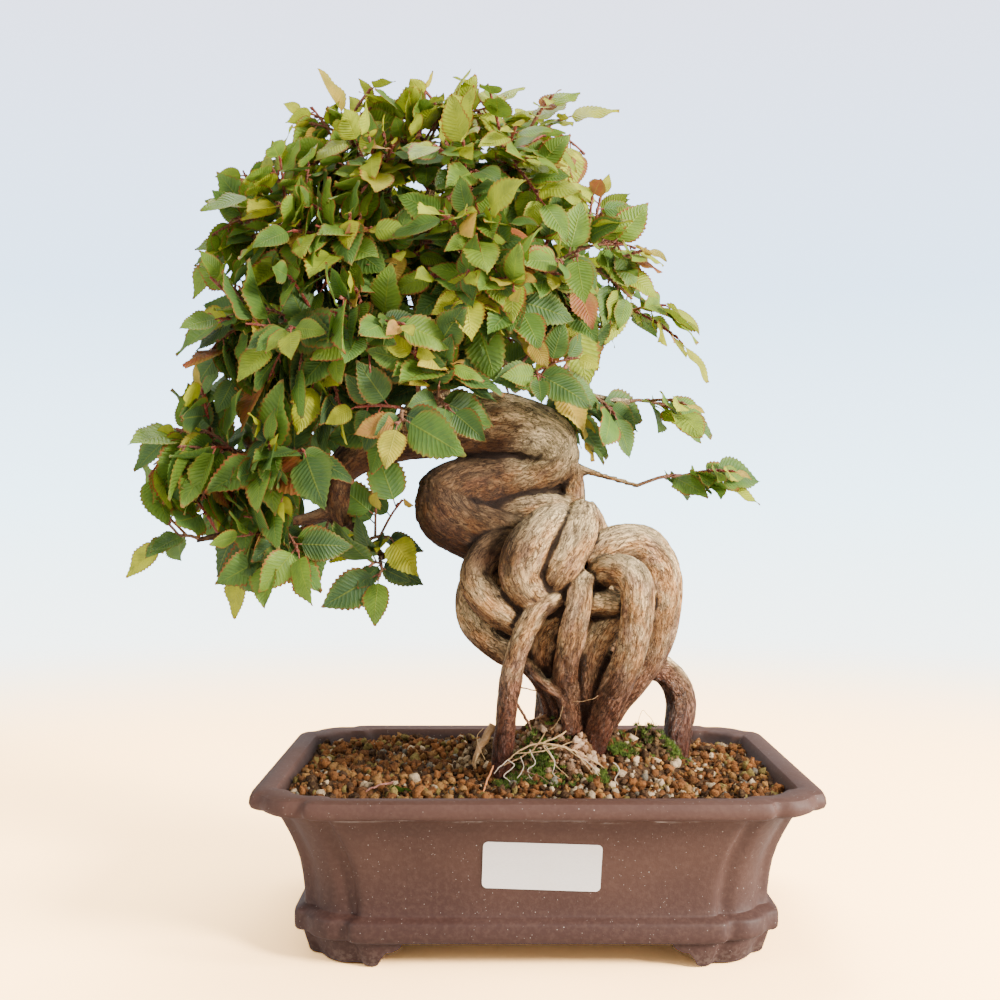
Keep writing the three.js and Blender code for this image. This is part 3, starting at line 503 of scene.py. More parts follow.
# Heights and places across, in metres, between which a part of the trunk gets painted shade (the coil) or a
# painted highlight (the bend)
barkParts = [
    {"tone": "paintedShade", "rise": (0.175, 0.2), "fall": (0.275, 0.25), "across": (0.05, 0.02), "share": 0.86},
    {"tone": "paintedLight", "rise": (0.236, 0.256), "fall": (0.3, 0.285), "across": (0.022, 0.045), "share": 0.85},
]
barkLook = {
    "sway": (5.0, 5.0, 2.0), "plates": 0.34, "drift": 0.06, "young": (0.125, 0.172), "youngShare": 0.8,
    "soilDark": (0.126, 0.09), "soilShare": 0.84, "crackShare": 0.85, "hollowShare": 0.93,
}


def barkMaterial():
    material, tree, shader = newMaterial("bark", 0.8, 0.3)
    grain = attributeOf(tree, "grain", "Vector")
    hollow = addNode(tree, "ShaderNodeSeparateXYZ", {0: attributeOf(tree, "paintedShading", "Vector")}, "X")
    upward, relief = hollow.node.outputs["Y"], hollow.node.outputs["Z"]
    along = addNode(tree, "ShaderNodeMapping", {"Vector": grain, "Scale": (1, 1, 0.3)})
    patch = addNode(tree, "ShaderNodeMapping", {"Vector": grain, "Scale": (1, 1, 0.6)})
    fine = noiseOf(tree, along, 1.1, 7, 0.7, 0.4)
    wide = mathOf(tree, "ABSOLUTE", mathOf(tree, "SUBTRACT", noiseOf(tree, along, 0.3, 5, 0.62, 0.9), 0.5))
    slim = mathOf(tree, "ABSOLUTE", mathOf(tree, "SUBTRACT", noiseOf(tree, along, 0.75, 4, 0.6, 0.6), 0.5))
    broken = rangeOf(tree, noiseOf(tree, patch, 0.22, 3, 0.6), 0.4, 0.56)
    wideCrack = timesOf(tree, rangeOf(tree, wide, 0.012, 0.036, 1, 0), broken)
    slimCrack = rangeOf(tree, slim, 0.008, 0.035, 0.6, 0)
    sway = addNode(tree, "ShaderNodeTexNoise", {"Vector": patch, "Scale": 0.3, "Detail": 3}, "Color")
    stretched = addNode(tree, "ShaderNodeMapping", {"Vector": grain, "Scale": (1, 1, 0.14)})
    inputs = {0: sway, 1: barkLook["sway"], 2: stretched}
    swayed = addNode(tree, "ShaderNodeVectorMath", inputs, operation="MULTIPLY_ADD")
    plates = cellsOf(tree, swayed, barkLook["plates"], "DISTANCE_TO_EDGE")
    seams = timesOf(tree, rangeOf(tree, plates, 0.03, 0.1, 0.8, 0), rangeOf(tree, fine, 0.62, 0.42))
    crack = mathOf(tree, "MAXIMUM", mathOf(tree, "MAXIMUM", wideCrack, slimCrack), seams)
    base = mixOf(tree, rangeOf(tree, fine, 0.32, 0.6), barkColours["brown"], barkColours["tan"])
    lighter = rangeOf(tree, noiseOf(tree, patch, 0.16, 4, 0.6), 0.42, 0.62, 0, 0.85)
    base = mixOf(tree, lighter, base, barkColours["pale"])
    greyer = rangeOf(tree, noiseOf(tree, patch, 0.1, 3, 0.5), 0.52, 0.66, 0, 0.5)
    base = mixOf(tree, greyer, base, barkColours["mauve"])
    # Painted light: faces turned up are drawn paler, as if lit from above.
    base = mixOf(tree, rangeOf(tree, upward, 0.0, 0.8, 0, 0.65), base, barkColours["paintedLight"])
    # Painted shade: faces turned down are drawn darker.
    base = mixOf(tree, rangeOf(tree, upward, 0.0, -0.8, 0, 0.75), base, barkColours["paintedUnderShade"])
    sideways = addNode(tree, "ShaderNodeSeparateXYZ", {0: placeOf(tree)}, "X")
    height = sideways.node.outputs["Z"]
    for part in barkParts:
        inside = bandOf(tree, height, part["rise"], part["fall"])
        inside = timesOf(tree, inside, rangeOf(tree, sideways, *part["across"], 0, part["share"]))
        base = mixOf(tree, inside, base, barkColours[part["tone"]])
    drift = timesOf(tree, noiseOf(tree, placeOf(tree), 40, 3), barkLook["drift"])
    drift = mathOf(tree, "SUBTRACT", drift, barkLook["drift"] / 2)
    low = rangeOf(tree, mathOf(tree, "ADD", height, drift), *barkLook["young"], 1, 0)
    # Painted light: the young roots' wine-brown is kept off their upward faces, so their tops stay pale.
    low = timesOf(tree, low, rangeOf(tree, upward, 0.2, 0.65, 1, 0.08))
    young = mixOf(tree, rangeOf(tree, fine, 0.42, 0.66), barkColours["root"], barkColours["rootPale"])
    base = mixOf(tree, timesOf(tree, low, barkLook["youngShare"]), base, young)
    soilDark = rangeOf(tree, height, *barkLook["soilDark"], 0, barkLook["soilShare"])
    base = mixOf(tree, soilDark, base, barkColours["root"])
    base = mixOf(tree, rangeOf(tree, relief, -0.05, -0.55, 0, 0.5), base, barkColours["deep"])
    base = mixOf(tree, timesOf(tree, crack, barkLook["crackShare"]), base, barkColours["deep"])
    # Painted shade: the hollows between strands are darkened.
    base = mixOf(tree, rangeOf(tree, hollow, 0.1, 0.7, 0, barkLook["hollowShare"]), base, barkColours["deep"])
    tree.links.new(base, shader.inputs["Base Color"])
    tree.links.new(rangeOf(tree, low, 0.0, 1.0, 0.78, 0.32), shader.inputs["Roughness"])
    bump = mathOf(tree, "SUBTRACT", timesOf(tree, fine, 1.2), timesOf(tree, crack, 0.9))
    tree.links.new(bumpOf(tree, bump, 0.001, 1.0), shader.inputs["Normal"])
    return material


# Crown: each spray's limb, where it starts along that limb, and the place of its tip leaf
sprays = [
    ("leader", 0.98, -39, 0, 459), ("leader", 0.9, -73, -22, 445), ("leader", 0.5, -84, -66, 338),
    ("topRight", 0.97, 36, -5, 446), ("topRight", 0.85, -6, 22, 459), ("topRight", 0.6, 15, -48, 408),
    ("topRight", 0.4, -22, -66, 397), ("topRight", 0.8, 14, -18, 380), ("topLeft", 0.97, -105, 0, 442),
    ("topLeft", 0.85, -134, -12, 424), ("topLeft", 0.45, -82, -62, 399), ("topLeft", 0.5, -114, -24, 394),
    ("leftHigh", 0.97, -166, -12, 390), ("leftHigh", 0.75, -142, -62, 384),
    ("leftHigh", 0.4, -106, -80, 346), ("leftHigh", 0.88, -190, -12, 350),
    ("leftHigh", 0.6, -142, -58, 340), ("leftMid", 0.97, -168, -44, 325), ("leftMid", 0.7, -145, -84, 296),
    ("leftMid", 0.4, -88, -100, 304), ("leftMid", 0.85, -186, -30, 296), ("leftBack", 0.97, -190, 92, 339),
    ("leftBack", 0.7, -165, 108, 358), ("leftBack", 0.85, -168, 56, 280), ("endLeft", 0.97, -210, -26, 264),
    ("endLeft", 0.75, -180, -62, 243), ("endLeft", 0.45, -137, -84, 242), ("endDown", 0.97, -222, -16, 203),
    ("endLeft", 0.65, -186, 16, 226), ("endDown", 0.7, -160, -22, 168), ("endDown", 0.45, -140, -60, 183),
    ("endBack", 0.95, -160, 94, 203), ("leftMid", 0.55, -122, -66, 268), ("endRight", 0.6, -66, -16, 208),
    ("endRight", 0.95, -84, -18, 176), ("frontDrop", 0.95, -70, -92, 256),
    ("frontDrop", 0.6, -28, -66, 262), ("rightLow", 0.98, 98, -8, 272), ("rightLow", 0.8, 52, -28, 264),
    ("rightLow", 0.5, 27, -54, 277), ("rightLow", 0.65, 38, 14, 254), ("rightMid", 0.97, 60, -12, 350),
    ("rightMid", 0.88, 50, -8, 392), ("rightMid", 0.75, 34, -52, 324), ("rightMid", 0.5, -2, -78, 308),
    ("rightMid", 0.2, -30, -92, 322), ("rightMid", 0.35, -27, -88, 362), ("rightBack", 0.98, 104, 22, 311),
    ("rightBack", 0.75, 50, 84, 357), ("rightBack", 0.55, 27, 104, 388), ("frontDrop", 0.35, -62, -76, 292),
    ("back", 0.95, -96, 122, 408), ("back", 0.7, -40, 108, 420), ("rightTwig", 0.97, 124, 4, 238),
]
crownLook = {
    "centre": np.array([-55.0, 30.0, 345.0]), "twigRadius": 1.15, "twigTip": 0.5, "tipLeafReach": 24,
    "shortest": 20, "leastOpening": 0.5, "petiole": 0.13, "petioleRadius": 0.4, "deadShare": 0.03,
    "leafPitch": 5.2, "leastLeaf": 18, "leafSpan": 21, "fewestLeaves": 2, "sparse": 46, "topLeaf": 0.74,
    "ragged": 0.3, "raggedWidth": 24.0,
    "shootPitch": 9.5, "shootStart": 0.3, "shootLength": 24, "shootSpan": 18, "shootTurn": 2.4,
    "shootRadius": 1.0, "fullerLength": 18, "fullerSpan": 12, "fullerRadius": 0.8,
    "leafRun": 0.78, "flushShare": 0.4, "faceUp": 0.45, "faceOut": 0.6, "faceBroad": 0.6, "faceWander": 0.8,
    "broadReach": 30, "leastRoom": 9, "budShare": 0.6, "edge": 1.02,
    "fuller": 6, "middle": np.array([-70.0, 5.0, 310.0]), "spread": np.array([150.0, 115.0, 150.0]),
    "masses": [
        (np.array([-62.0, 5.0, 350.0]), np.array([116.0, 108.0, 106.0]), 282.0),
        (np.array([-136.0, 0.0, 245.0]), np.array([76.0, 88.0, 66.0]), 185.0),
    ],
}
leafLook = {
    "steps": 24, "halfWidth": 0.29, "tooth": 0.055, "toothReach": 0.014,
    "outline": [
        (0, 0), (0.03, 0.42), (0.08, 0.7), (0.18, 0.92), (0.32, 1.0), (0.46, 0.96), (0.6, 0.81),
        (0.74, 0.55), (0.86, 0.28), (0.94, 0.11), (1, 0),
    ],
}
leafColours = {
    "dark": linear(60, 86, 54), "mid": linear(92, 128, 52), "light": linear(142, 167, 46),
    "young": linear(192, 196, 48), "blush": linear(206, 132, 76), "rim": linear(158, 80, 46),
    "dead": linear(150, 90, 52), "twigRed": linear(138, 50, 40), "twigBrown": linear(120, 84, 58),
    "bud": linear(104, 42, 32),
}
up = np.array([0.0, 0.0, 1.0])


# A leaf's net: shares along it and across it, toothed at the edge, with its ends drawn to points
def leafPattern():
    bm = bmesh.new()
    bmesh.ops.create_grid(bm, x_segments=leafLook["steps"], y_segments=2, size=1)
    shares, widths = zip(*leafLook["outline"])
    for vertex in bm.verts:
        along, side = (vertex.co.x + 1) / 2, vertex.co.y
        step = round(along * leafLook["steps"])
        width = float(np.interp(along, shares, widths)) * leafLook["halfWidth"]
        tooth = (1 if step % 2 else -1) * abs(side) if 0 < step < leafLook["steps"] else 0
        reach = leafLook["toothReach"] * max(tooth, 0)
        vertex.co = (along + reach, side * width * (1 + tooth * leafLook["tooth"]), side)
    for end in (0, 1):
        at = [vertex for vertex in bm.verts if abs(vertex.co.x - end) < 1e-5]
        bmesh.ops.pointmerge(bm, verts=at, merge_co=(end, 0, 0))
    return shapeOf(bm)


def budPattern():
    bm = bmesh.new()
    bmesh.ops.create_uvsphere(bm, u_segments=6, v_segments=4, radius=1)
    return shapeOf(bm)


# A place on a stem with its directions: along it, to its right, and up from its ridge
def frameAt(stem, share):
    place, back, front = curveAt(stem["rows"], [share, share - 1e-4, share + 1e-4])
    tangent = unit(front - back)
    across = unit(stem["side"] - tangent * (stem["side"] @ tangent))
    return place, tangent, across, np.cross(across, tangent)


# The stems of a spray: its main twig and the side twigs that leave it, left and right in turn
def stemsOf(number, limb, start, *tip):
    base = curveAt([row[:3] for row in limbs[limb]], [start])[0]
    reach = np.array(tip, float) - base
    length = max(crownLook["shortest"], np.linalg.norm(reach) - crownLook["tipLeafReach"])
    reach = unit(reach) * length
    side = unit(np.cross(reach, up))
    lift = length * (0.06 + 0.08 * chance(number * 7 + 1))
    sway = length * 0.14 * (chance(number * 7 + 2) - 0.5)
    rows = np.array([
        base, base + reach * 0.35 + up * lift + side * sway,
        base + reach * 0.7 + up * lift * 0.8 - side * sway, base + reach,
    ])
    main = {"rows": rows, "length": length, "side": side, "radius": crownLook["twigRadius"], "main": True}
    stems = [main]
    count = 1 if rows[-1][0] > crownLook["sparse"] else min(4, int(length / 22))
    for k in range(count):
        seed = number * 31 + k * 5
        share = 0.3 + 0.52 * (k + 0.6 * chance(seed)) / count
        place, tangent, _, top = frameAt(main, share)
        out = unit(place - crownLook["centre"])
        turn = 1 if (k + number) % 2 == 0 else -1
        sideLength = 20 + 12 * chance(seed + 1)
        rise = 0.1 + 0.3 * chance(seed + 2)
        aim = unit(tangent * 0.7 + side * 0.8 * turn + up * rise + out * 0.3)
        rows = np.array([place, place + aim * sideLength * 0.5 + up * 1.5, place + aim * sideLength])
        stems.append({
            "rows": rows, "length": sideLength, "side": unit(np.cross(aim, top)),
            "radius": crownLook["twigRadius"] * 0.8,
        })
    return stems + fullerStems(main, number)


# True inside the two masses of leaves, the dome and the lower one on the left, which have ragged sides
def insideCrown(place):
    ragged = noise.noise(Vector(place) / crownLook["raggedWidth"])
    edge = crownLook["edge"] + crownLook["ragged"] * ragged
    masses = [((place - middle) / spread, floor) for middle, spread, floor in crownLook["masses"]]
    return any(np.linalg.norm(offset) < edge and place[2] > floor for offset, floor in masses)


# A short twig that starts at a place and bows up a little on its way
def innerStem(place, aim, length, flat, radius):
    rows = np.array([place, place + aim * length * 0.5 + up * 1.5, place + aim * length])
    side = unit(np.cross(aim, flat))
    return {"rows": rows, "length": length, "side": side, "radius": radius, "inner": True}


# Short twigs above and below the main one, which fill the spray out where they end inside the crown
def fullerStems(main, number):
    stems = []
    for k in range(crownLook["fuller"]):
        seed = number * 17 + k * 7 + 0.5
        share = 0.22 + 0.6 * (k + 0.7 * chance(seed)) / crownLook["fuller"]
        place, tangent, across, top = frameAt(main, share)
        turn = 1 if k % 2 else -1
        length = crownLook["fullerLength"] + crownLook["fullerSpan"] * chance(seed + 1)
        aim = unit(tangent * 0.7 + top * 0.8 * turn + across * (chance(seed + 2) - 0.5) * 1.4 - up * 0.15)
        stems.append(innerStem(place, aim, length, across, crownLook["fullerRadius"]))
    return [stem for stem in stems if insideCrown(stem["rows"][-1])]


# Leafy shoots straight from a limb, turned round it one after another, where they stay inside the crown
def limbStems(number, limb):
    rows = np.array(limbs[limb], float)[:, :3]
    limbStem = {"rows": rows, "side": unit(np.cross(rows[-1] - rows[0], (0.4, 0.3, 1.0)))}
    count = int(np.linalg.norm(np.diff(rows, axis=0), axis=1).sum() / crownLook["shootPitch"])
    stems = []
    for k in range(count):
        seed = number * 23 + k * 9 + 0.7
        share = crownLook["shootStart"] + (1 - crownLook["shootStart"]) * (k + 0.9 * chance(seed)) / count
        place, tangent, across, top = frameAt(limbStem, share)
        turn = crownLook["shootTurn"] * k + chance(seed + 1)
        aim = unit(tangent * 0.35 + across * math.cos(turn) + top * math.sin(turn))
        length = crownLook["shootLength"] + crownLook["shootSpan"] * chance(seed + 2)
        stems.append(innerStem(place, aim, length, tangent, crownLook["shootRadius"]))
    return [stem for stem in stems if insideCrown(stem["rows"][-1])]


crownBox = [toPot @ Vector(corner) for corner in cadBounds]


# How far it is from a place, in a direction, to the side of the solids' box
def roomFor(place, direction):
    return min((crownBox[int(step > 0)][k] - place[k]) / step for k, step in enumerate(direction))


# Where the leaves of a stem go: one at its tip, then left and right in turn back towards its base.
# Their faces turn up, out of the crown and to the nearer of its front and back.
def leavesOf(stem, seedBase):
    count = max(3, round(stem["length"] / crownLook["leafPitch"]))
    flush = chance(seedBase + 0.3) < crownLook["flushShare"]
    for k in range(count + 1):
        share = 1 - crownLook["leafRun"] * k / (count + 1)
        seed = seedBase + k * 11
        place, tangent, across, top = frameAt(stem, share)
        out = unit(place - crownLook["centre"])
        turn = 0 if k == 0 else (k % 2) * 2 - 1
        rise = 0.05 - 0.55 * chance(seed)
        along = unit(tangent * 0.6 + across * 1.1 * turn + up * rise + out * 0.25 * chance(seed + 1))
        wander = np.array([chance(seed + step) - 0.5 for step in (2, 3, 4)])
        depth = (place[1] - crownLook["centre"][1]) / crownLook["broadReach"]
        broadside = np.array([0, np.clip(depth, -1, 1), 0])
        face = unit(
            up * crownLook["faceUp"] + out * crownLook["faceOut"] + broadside * crownLook["faceBroad"]
            + wander * crownLook["faceWander"]
        )
        hinge = top if turn == 0 else unit(np.cross(along, tangent) * turn)
        face = face + hinge * max(0, crownLook["leastOpening"] - face @ hinge)
        width = unit(np.cross(along, face))
        size = crownLook["leastLeaf"] + crownLook["leafSpan"] * chance(seed + 5) ** 1.2
        size *= float(np.interp(place[2], (300, 410), (1, crownLook["topLeaf"])))
        if k == 0 and stem.get("main"):
            size = crownLook["tipLeafReach"] + 8 * chance(seed + 5)
        elif flush:
            size *= 0.5 + 0.5 * min(1, (1 - share) / 0.3)
        size = min(size, max(roomFor(place, along), crownLook["leastRoom"]))
        yield {
            "place": place, "along": along, "width": width, "face": np.cross(width, along),
            "size": size, "share": share, "seed": seed, "tip": k == 0, "flush": flush and share > 0.8,
        }


def mixed(a, b, share):
    return np.asarray(a) * (1 - share) + np.asarray(b) * share


# A leaf's own colour and how brown its edge is: darker inside and low, yellower at the tips and on top
def leafTone(leaf):
    place, seed = leaf["place"], leaf["seed"]
    reach = np.linalg.norm((place - crownLook["middle"]) / crownLook["spread"])
    youth = 0.6 * reach + 0.26 * leaf["share"] + 0.0022 * (place[2] - 290) + 0.6 * (chance(seed + 6) - 0.5)
    youth = min(max((youth - 0.22) / 0.85, 0), 1)
    if chance(seed + 7) < crownLook["deadShare"]:
        body, edge = mixed(leafColours["dead"], leafColours["rim"], chance(seed + 8)), 0.3
    elif leaf["flush"]:
        body = mixed(leafColours["young"], leafColours["blush"], chance(seed + 8) ** 4)
        edge = chance(seed + 9)
    elif youth < 0.5:
        body, edge = mixed(leafColours["dark"], leafColours["mid"], youth * 2), 0.8 * chance(seed + 9)
    else:
        body = mixed(leafColours["mid"], leafColours["light"], youth * 2 - 1)
        body = mixed(body, leafColours["young"], max(0, youth - 0.8) * 3)
        edge = 0.3 + 0.7 * chance(seed + 9)
    return body * (0.85 + 0.3 * chance(seed + 10)), edge


def leafPoints(leaf, net):
    seed, size = leaf["seed"], leaf["size"]
    u = crownLook["petiole"] + (1 - crownLook["petiole"]) * net[:, 0]
    v = net[:, 1]
    fold = 0.08 + 0.2 * chance(seed + 12)
    droop = 0.09 + 0.1 * chance(seed + 13)
    rim = np.abs(net[:, 2])
    wave = 0.03 * np.sin(6.3 * chance(seed + 14) + (9 + 5 * net[:, 2]) * u) * rim
    curl = 0.12 * (chance(seed + 15) - 0.4) * rim
    high = fold * np.abs(v) - droop * u**2 + wave - curl
    turn = 0.5 * (chance(seed + 16) - 0.5) * u
    width = np.outer(np.cos(turn), leaf["width"]) + np.outer(np.sin(turn), leaf["face"])
    return (
        leaf["place"] + np.outer(u * size, leaf["along"]) + width * (v * size)[:, None]
        + np.outer(high * size, leaf["face"])
    )


def buildSprays(twigFinish, leafFinish):
    net, netFaces = leafPattern()
    spots = np.column_stack([0.5 + net[:, 2] / 2, net[:, 0]])
    bud, budFaces = budPattern()
    total = 0
    heaps = {limb: Heap() for limb in limbs}
    bunches = [(spray[0], stemsOf(owner + 1, *spray), owner * 400) for owner, spray in enumerate(sprays)]
    bunches += [(limb, limbStems(number, limb), 40000 + number * 2000) for number, limb in enumerate(limbs)]
    for limb, stems, firstSeed in bunches:
        heap = heaps[limb]
        paths = []
        for k, stem in enumerate(stems):
            shares = np.linspace(0, 1, max(5, round(stem["length"] / 5)))
            places = curveAt(stem["rows"], shares)
            radii = stem["radius"] * (1 - shares) + crownLook["twigTip"] * shares
            leaves = list(leavesOf(stem, firstSeed + k * 80))
            if stem.get("inner"):
                ends = [leaf["place"] + leaf["along"] * leaf["size"] for leaf in leaves]
                leaves = [leaf for leaf, end in zip(leaves, ends) if insideCrown(end)]
                if len(leaves) < crownLook["fewestLeaves"]:
                    continue
            for leaf in leaves:
                tone, edge = leafTone(leaf)
                heap.add(leafPoints(leaf, net), netFaces, tone, spots, 1, edge)
                size, place = leaf["size"], leaf["place"]
                stalk = np.array([(0, 0.0), (0.5, -0.01), (1.06, -0.015)]) * crownLook["petiole"] * size
                line = place + np.outer(stalk[:, 0], leaf["along"]) + np.outer(stalk[:, 1], leaf["face"])
                paths.append(np.column_stack([line, np.full(3, crownLook["petioleRadius"])]))
                radii = radii + 0.25 * np.exp(-(((shares - leaf["share"]) * stem["length"] / 1.6) ** 2))
                if not leaf["tip"] and chance(leaf["seed"] + 20) < crownLook["budShare"]:
                    axis = unit(leaf["along"] * 0.5 + frameAt(stem, leaf["share"])[1] + leaf["face"] * 0.4)
                    across = unit(np.cross(axis, up))
                    axes = np.array([across * 0.75, np.cross(axis, across) * 0.75, axis * 1.9])
                    heap.add(place + axis * 2.2 + bud @ axes, budFaces, leafColours["bud"])
                total += 1
            paths.append(np.column_stack([places, radii]))
        if not paths:
            continue
        points, faces = meshArrays(tubeMesh(paths, 1))
        tint = np.clip((np.linalg.norm(points - stems[0]["rows"][0], axis=1) - 8) / 40, 0, 1)[:, None]
        heap.add(points, faces, mixed(leafColours["twigBrown"], leafColours["twigRed"], tint))
    for limb, heap in heaps.items():
        piece = heap.write(f"foliage_{limb}", [twigFinish, leafFinish])
        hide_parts(*(f"spray_{k + 1:02d}" for k, spray in enumerate(sprays) if spray[0] == limb))
    print("foliage:", len(sprays), "sprays on", len(limbs), "limbs with", total, "leaves")


def leafMaterial():
    material, tree, shader = newMaterial("leaf", 0.5, 0.28)
    tone = attributeOf(tree, "tone", "Color")
    edge = tone.node.outputs["Alpha"]
    spots = addNode(tree, "ShaderNodeUVMap", {}, uv_map="spots")
    across = addNode(tree, "ShaderNodeSeparateXYZ", {0: spots}, "X")
    along = across.node.outputs["Y"]
    aside = timesOf(tree, mathOf(tree, "ABSOLUTE", mathOf(tree, "SUBTRACT", across, 0.5)), 2)
    place = placeOf(tree)
    patch = noiseOf(tree, place, 160, 4)
    slanted = mathOf(tree, "SUBTRACT", along, timesOf(tree, aside, 0.2))
    wave = mathOf(tree, "PINGPONG", timesOf(tree, slanted, 13), 0.5)
    veins = timesOf(tree, rangeOf(tree, wave, 0.4, 0.5), rangeOf(tree, aside, 1.0, 0.5, 0.2, 1))
    midrib = rangeOf(tree, aside, 0.015, 0.06, 1, 0)
    lines = mathOf(tree, "MAXIMUM", timesOf(tree, veins, 0.5), midrib)
    colour = mixOf(tree, rangeOf(tree, patch, 0.38, 0.7, 0, 0.4), tone, leafColours["dark"])
    outer = timesOf(tree, rangeOf(tree, aside, 0.35, 1.0), rangeOf(tree, patch, 0.3, 0.6, 0.15, 0.5))
    colour = mixOf(tree, outer, colour, mixOf(tree, 0.55, tone, leafColours["light"]))
    lines = timesOf(tree, lines, 0.42)
    colour = mixOf(tree, lines, colour, mixOf(tree, 0.5, tone, leafColours["young"]))
    ragged = mathOf(tree, "ADD", aside, timesOf(tree, noiseOf(tree, place, 420, 3), 0.3))
    rim = mathOf(tree, "MAXIMUM", rangeOf(tree, ragged, 0.98, 1.1), rangeOf(tree, along, 0.91, 0.98))
    colour = mixOf(tree, timesOf(tree, rim, edge), colour, leafColours["rim"])
    tree.links.new(colour, shader.inputs["Base Color"])
    puff = mathOf(tree, "SUBTRACT", rangeOf(tree, wave, 0.5, 0.1), midrib)
    tree.links.new(bumpOf(tree, puff, 0.0004, 0.55), shader.inputs["Normal"])
    glow = addNode(tree, "ShaderNodeBsdfTranslucent", {"Color": colour})
    both = addNode(tree, "ShaderNodeMixShader", {0: 0.28, 1: shader.outputs[0], 2: glow})
    tree.links.new(both, tree.nodes["Material Output"].inputs["Surface"])
    return material


def twigMaterial():
    material, tree, shader = newMaterial("twig", 0.6, 0.35)
    tone = attributeOf(tree, "tone", "Color")
    place = placeOf(tree)
    fleck = rangeOf(tree, noiseOf(tree, place, 900, 3), 0.4, 0.7)
    colour = mixOf(tree, timesOf(tree, fleck, 0.35), tone, linear(196, 164, 132))
    tree.links.new(colour, shader.inputs["Base Color"])
    tree.links.new(bumpOf(tree, fleck, 0.0003), shader.inputs["Normal"])
    return material


# Pot: how its corner steps in, and its wall as rows of half width and height, up outside and down inside
potLook = {
    "rimHalfWidth": 140.0, "rimHalfDepth": 102.5, "underside": 13.0, "floorTop": 20.0,
    "drainX": 60.0, "drainRadius": 11.0, "cornerFineness": 40, "outerRows": 17, "insideReach": 40,
    "footOuter": 117, "footWidth": 15.0, "footRise": [(112.2, 0), (113.4, 0.4), (114.2, 1.4)],
    "gapFront": 65, "gapSide": 30,
    "gap": [
        (-16, -2), (-14, 0.2), (-12, 1.6), (-10.6, 4.6), (-8, 7.6), (-5, 8), (-2, 9.6), (-0.4, 11.2),
        (0, 13.2),
    ],
    "corner": [(38, 0), (31, 1.2), (27.5, 5), (19, 5.8), (11.5, 11), (6.5, 18.5), (1.2, 22), (0, 29)],
    "wall": [
        (118.4, 13), (119.9, 13.7), (120.6, 14.8), (120.8, 17), (120.8, 21.8), (120.5, 22.9), (119.7, 23.7),
        (117.4, 25), (116.6, 25.6), (116.3, 26.6), (116.4, 32), (117.2, 40), (118.5, 48), (120.6, 55.5),
        (123, 62), (126, 69), (129, 74.6), (130.2, 75.6), (134, 76.2), (137.2, 76.9), (139.1, 78.2),
        (139.9, 80.2), (139.6, 83), (138.7, 85), (136.6, 86), (134, 86.1), (130.5, 86), (128.4, 85.2),
        (127.4, 83.4), (126.2, 79.4), (120, 72), (114.5, 57), (110, 42), (107.6, 30), (106, 20.6), (105, 20),
    ],
}


# The pot's plan at a half width: its straight sides and notched, lobed corners, once round
def potPlan(halfWidth):
    halfDepth = halfWidth - potLook["rimHalfWidth"] + potLook["rimHalfDepth"]
    steps = curveAt(potLook["corner"], np.linspace(0, 1, potLook["cornerFineness"]))
    corner = np.array([halfWidth, halfDepth]) - steps
    signs = [(1, -1), (1, 1), (-1, 1), (-1, -1)]
    turned = [corner * sign if k % 2 == 0 else (corner * sign)[::-1] for k, sign in enumerate(signs)]
    return np.vstack(turned)


# Walls drawn up from a ring of the pot's plan through rows of half width and height, closed at both ends
def planWalls(rows):
    bm = bmesh.new()
    ring = bmesh.ops.create_circle(bm, segments=potLook["cornerFineness"] * 4, radius=1)["verts"]
    edges = bm.edges[:]
    for vertex, place in zip(ring, potPlan(rows[0][0])):
        vertex.co = (*place, rows[0][1])
    bmesh.ops.contextual_create(bm, geom=edges)
    for halfWidth, z in rows[1:]:
        drawn = bmesh.ops.extrude_edge_only(bm, edges=edges)["geom"]
        edges = [item for item in drawn if isinstance(item, bmesh.types.BMEdge)]
        fresh = {item for item in drawn if isinstance(item, bmesh.types.BMVert)}
        twin = {}
        for vertex in fresh:
            for edge in vertex.link_edges:
                if edge.other_vert(vertex) not in fresh:
                    twin[edge.other_vert(vertex)] = vertex
        ring = [twin[vertex] for vertex in ring]
        for vertex, place in zip(ring, potPlan(halfWidth)):
            vertex.co = (*place, z)
    bmesh.ops.contextual_create(bm, geom=edges)
    bmesh.ops.recalc_face_normals(bm, faces=bm.faces)
    return bm


# A prism through the pot: its outline stands in x and z, and it runs along y
def throughPot(outline, turned):
    bm = bmesh.new()
    corners = [bm.verts.new((x, -150, z)) for x, z in outline]
    drawn = bmesh.ops.extrude_face_region(bm, geom=[bm.faces.new(corners)])["geom"]
    moved = [item for item in drawn if isinstance(item, bmesh.types.BMVert)]
    bmesh.ops.translate(bm, verts=moved, vec=(0, 300, 0))
    if turned:
        bmesh.ops.rotate(bm, verts=bm.verts, cent=(0, 0, 0), matrix=Matrix.Rotation(math.pi / 2, 3, "Z"))
    bmesh.ops.recalc_face_normals(bm, faces=bm.faces)
    return bm


# The gap between two feet, with cloud-shaped ends
def footGap(halfLength):
    right = [(halfLength - dx, z) for dx, z in potLook["gap"]]
    return right + [(-x, z) for x, z in reversed(right)]


def holderOf(bm, name):
    mesh = bpy.data.meshes.new(name)
    bm.to_mesh(mesh)
    bm.free()
    holder = bpy.data.objects.new(name, mesh)
    bpy.context.scene.collection.objects.link(holder)
    return holder


# Cuts or joins solids one after another
def combined(first, others, operation):
    for k, other in enumerate(others):
        modifier = first.modifiers.new(f"{operation}{k}", "BOOLEAN")
        modifier.operation = operation
        modifier.solver = "EXACT"
        modifier.object = other
    mesh = appliedMesh(first)
    for other in others:
        bpy.data.objects.remove(other)
    made = bpy.data.objects.new("solid", mesh)
    bpy.context.scene.collection.objects.link(made)
    return made


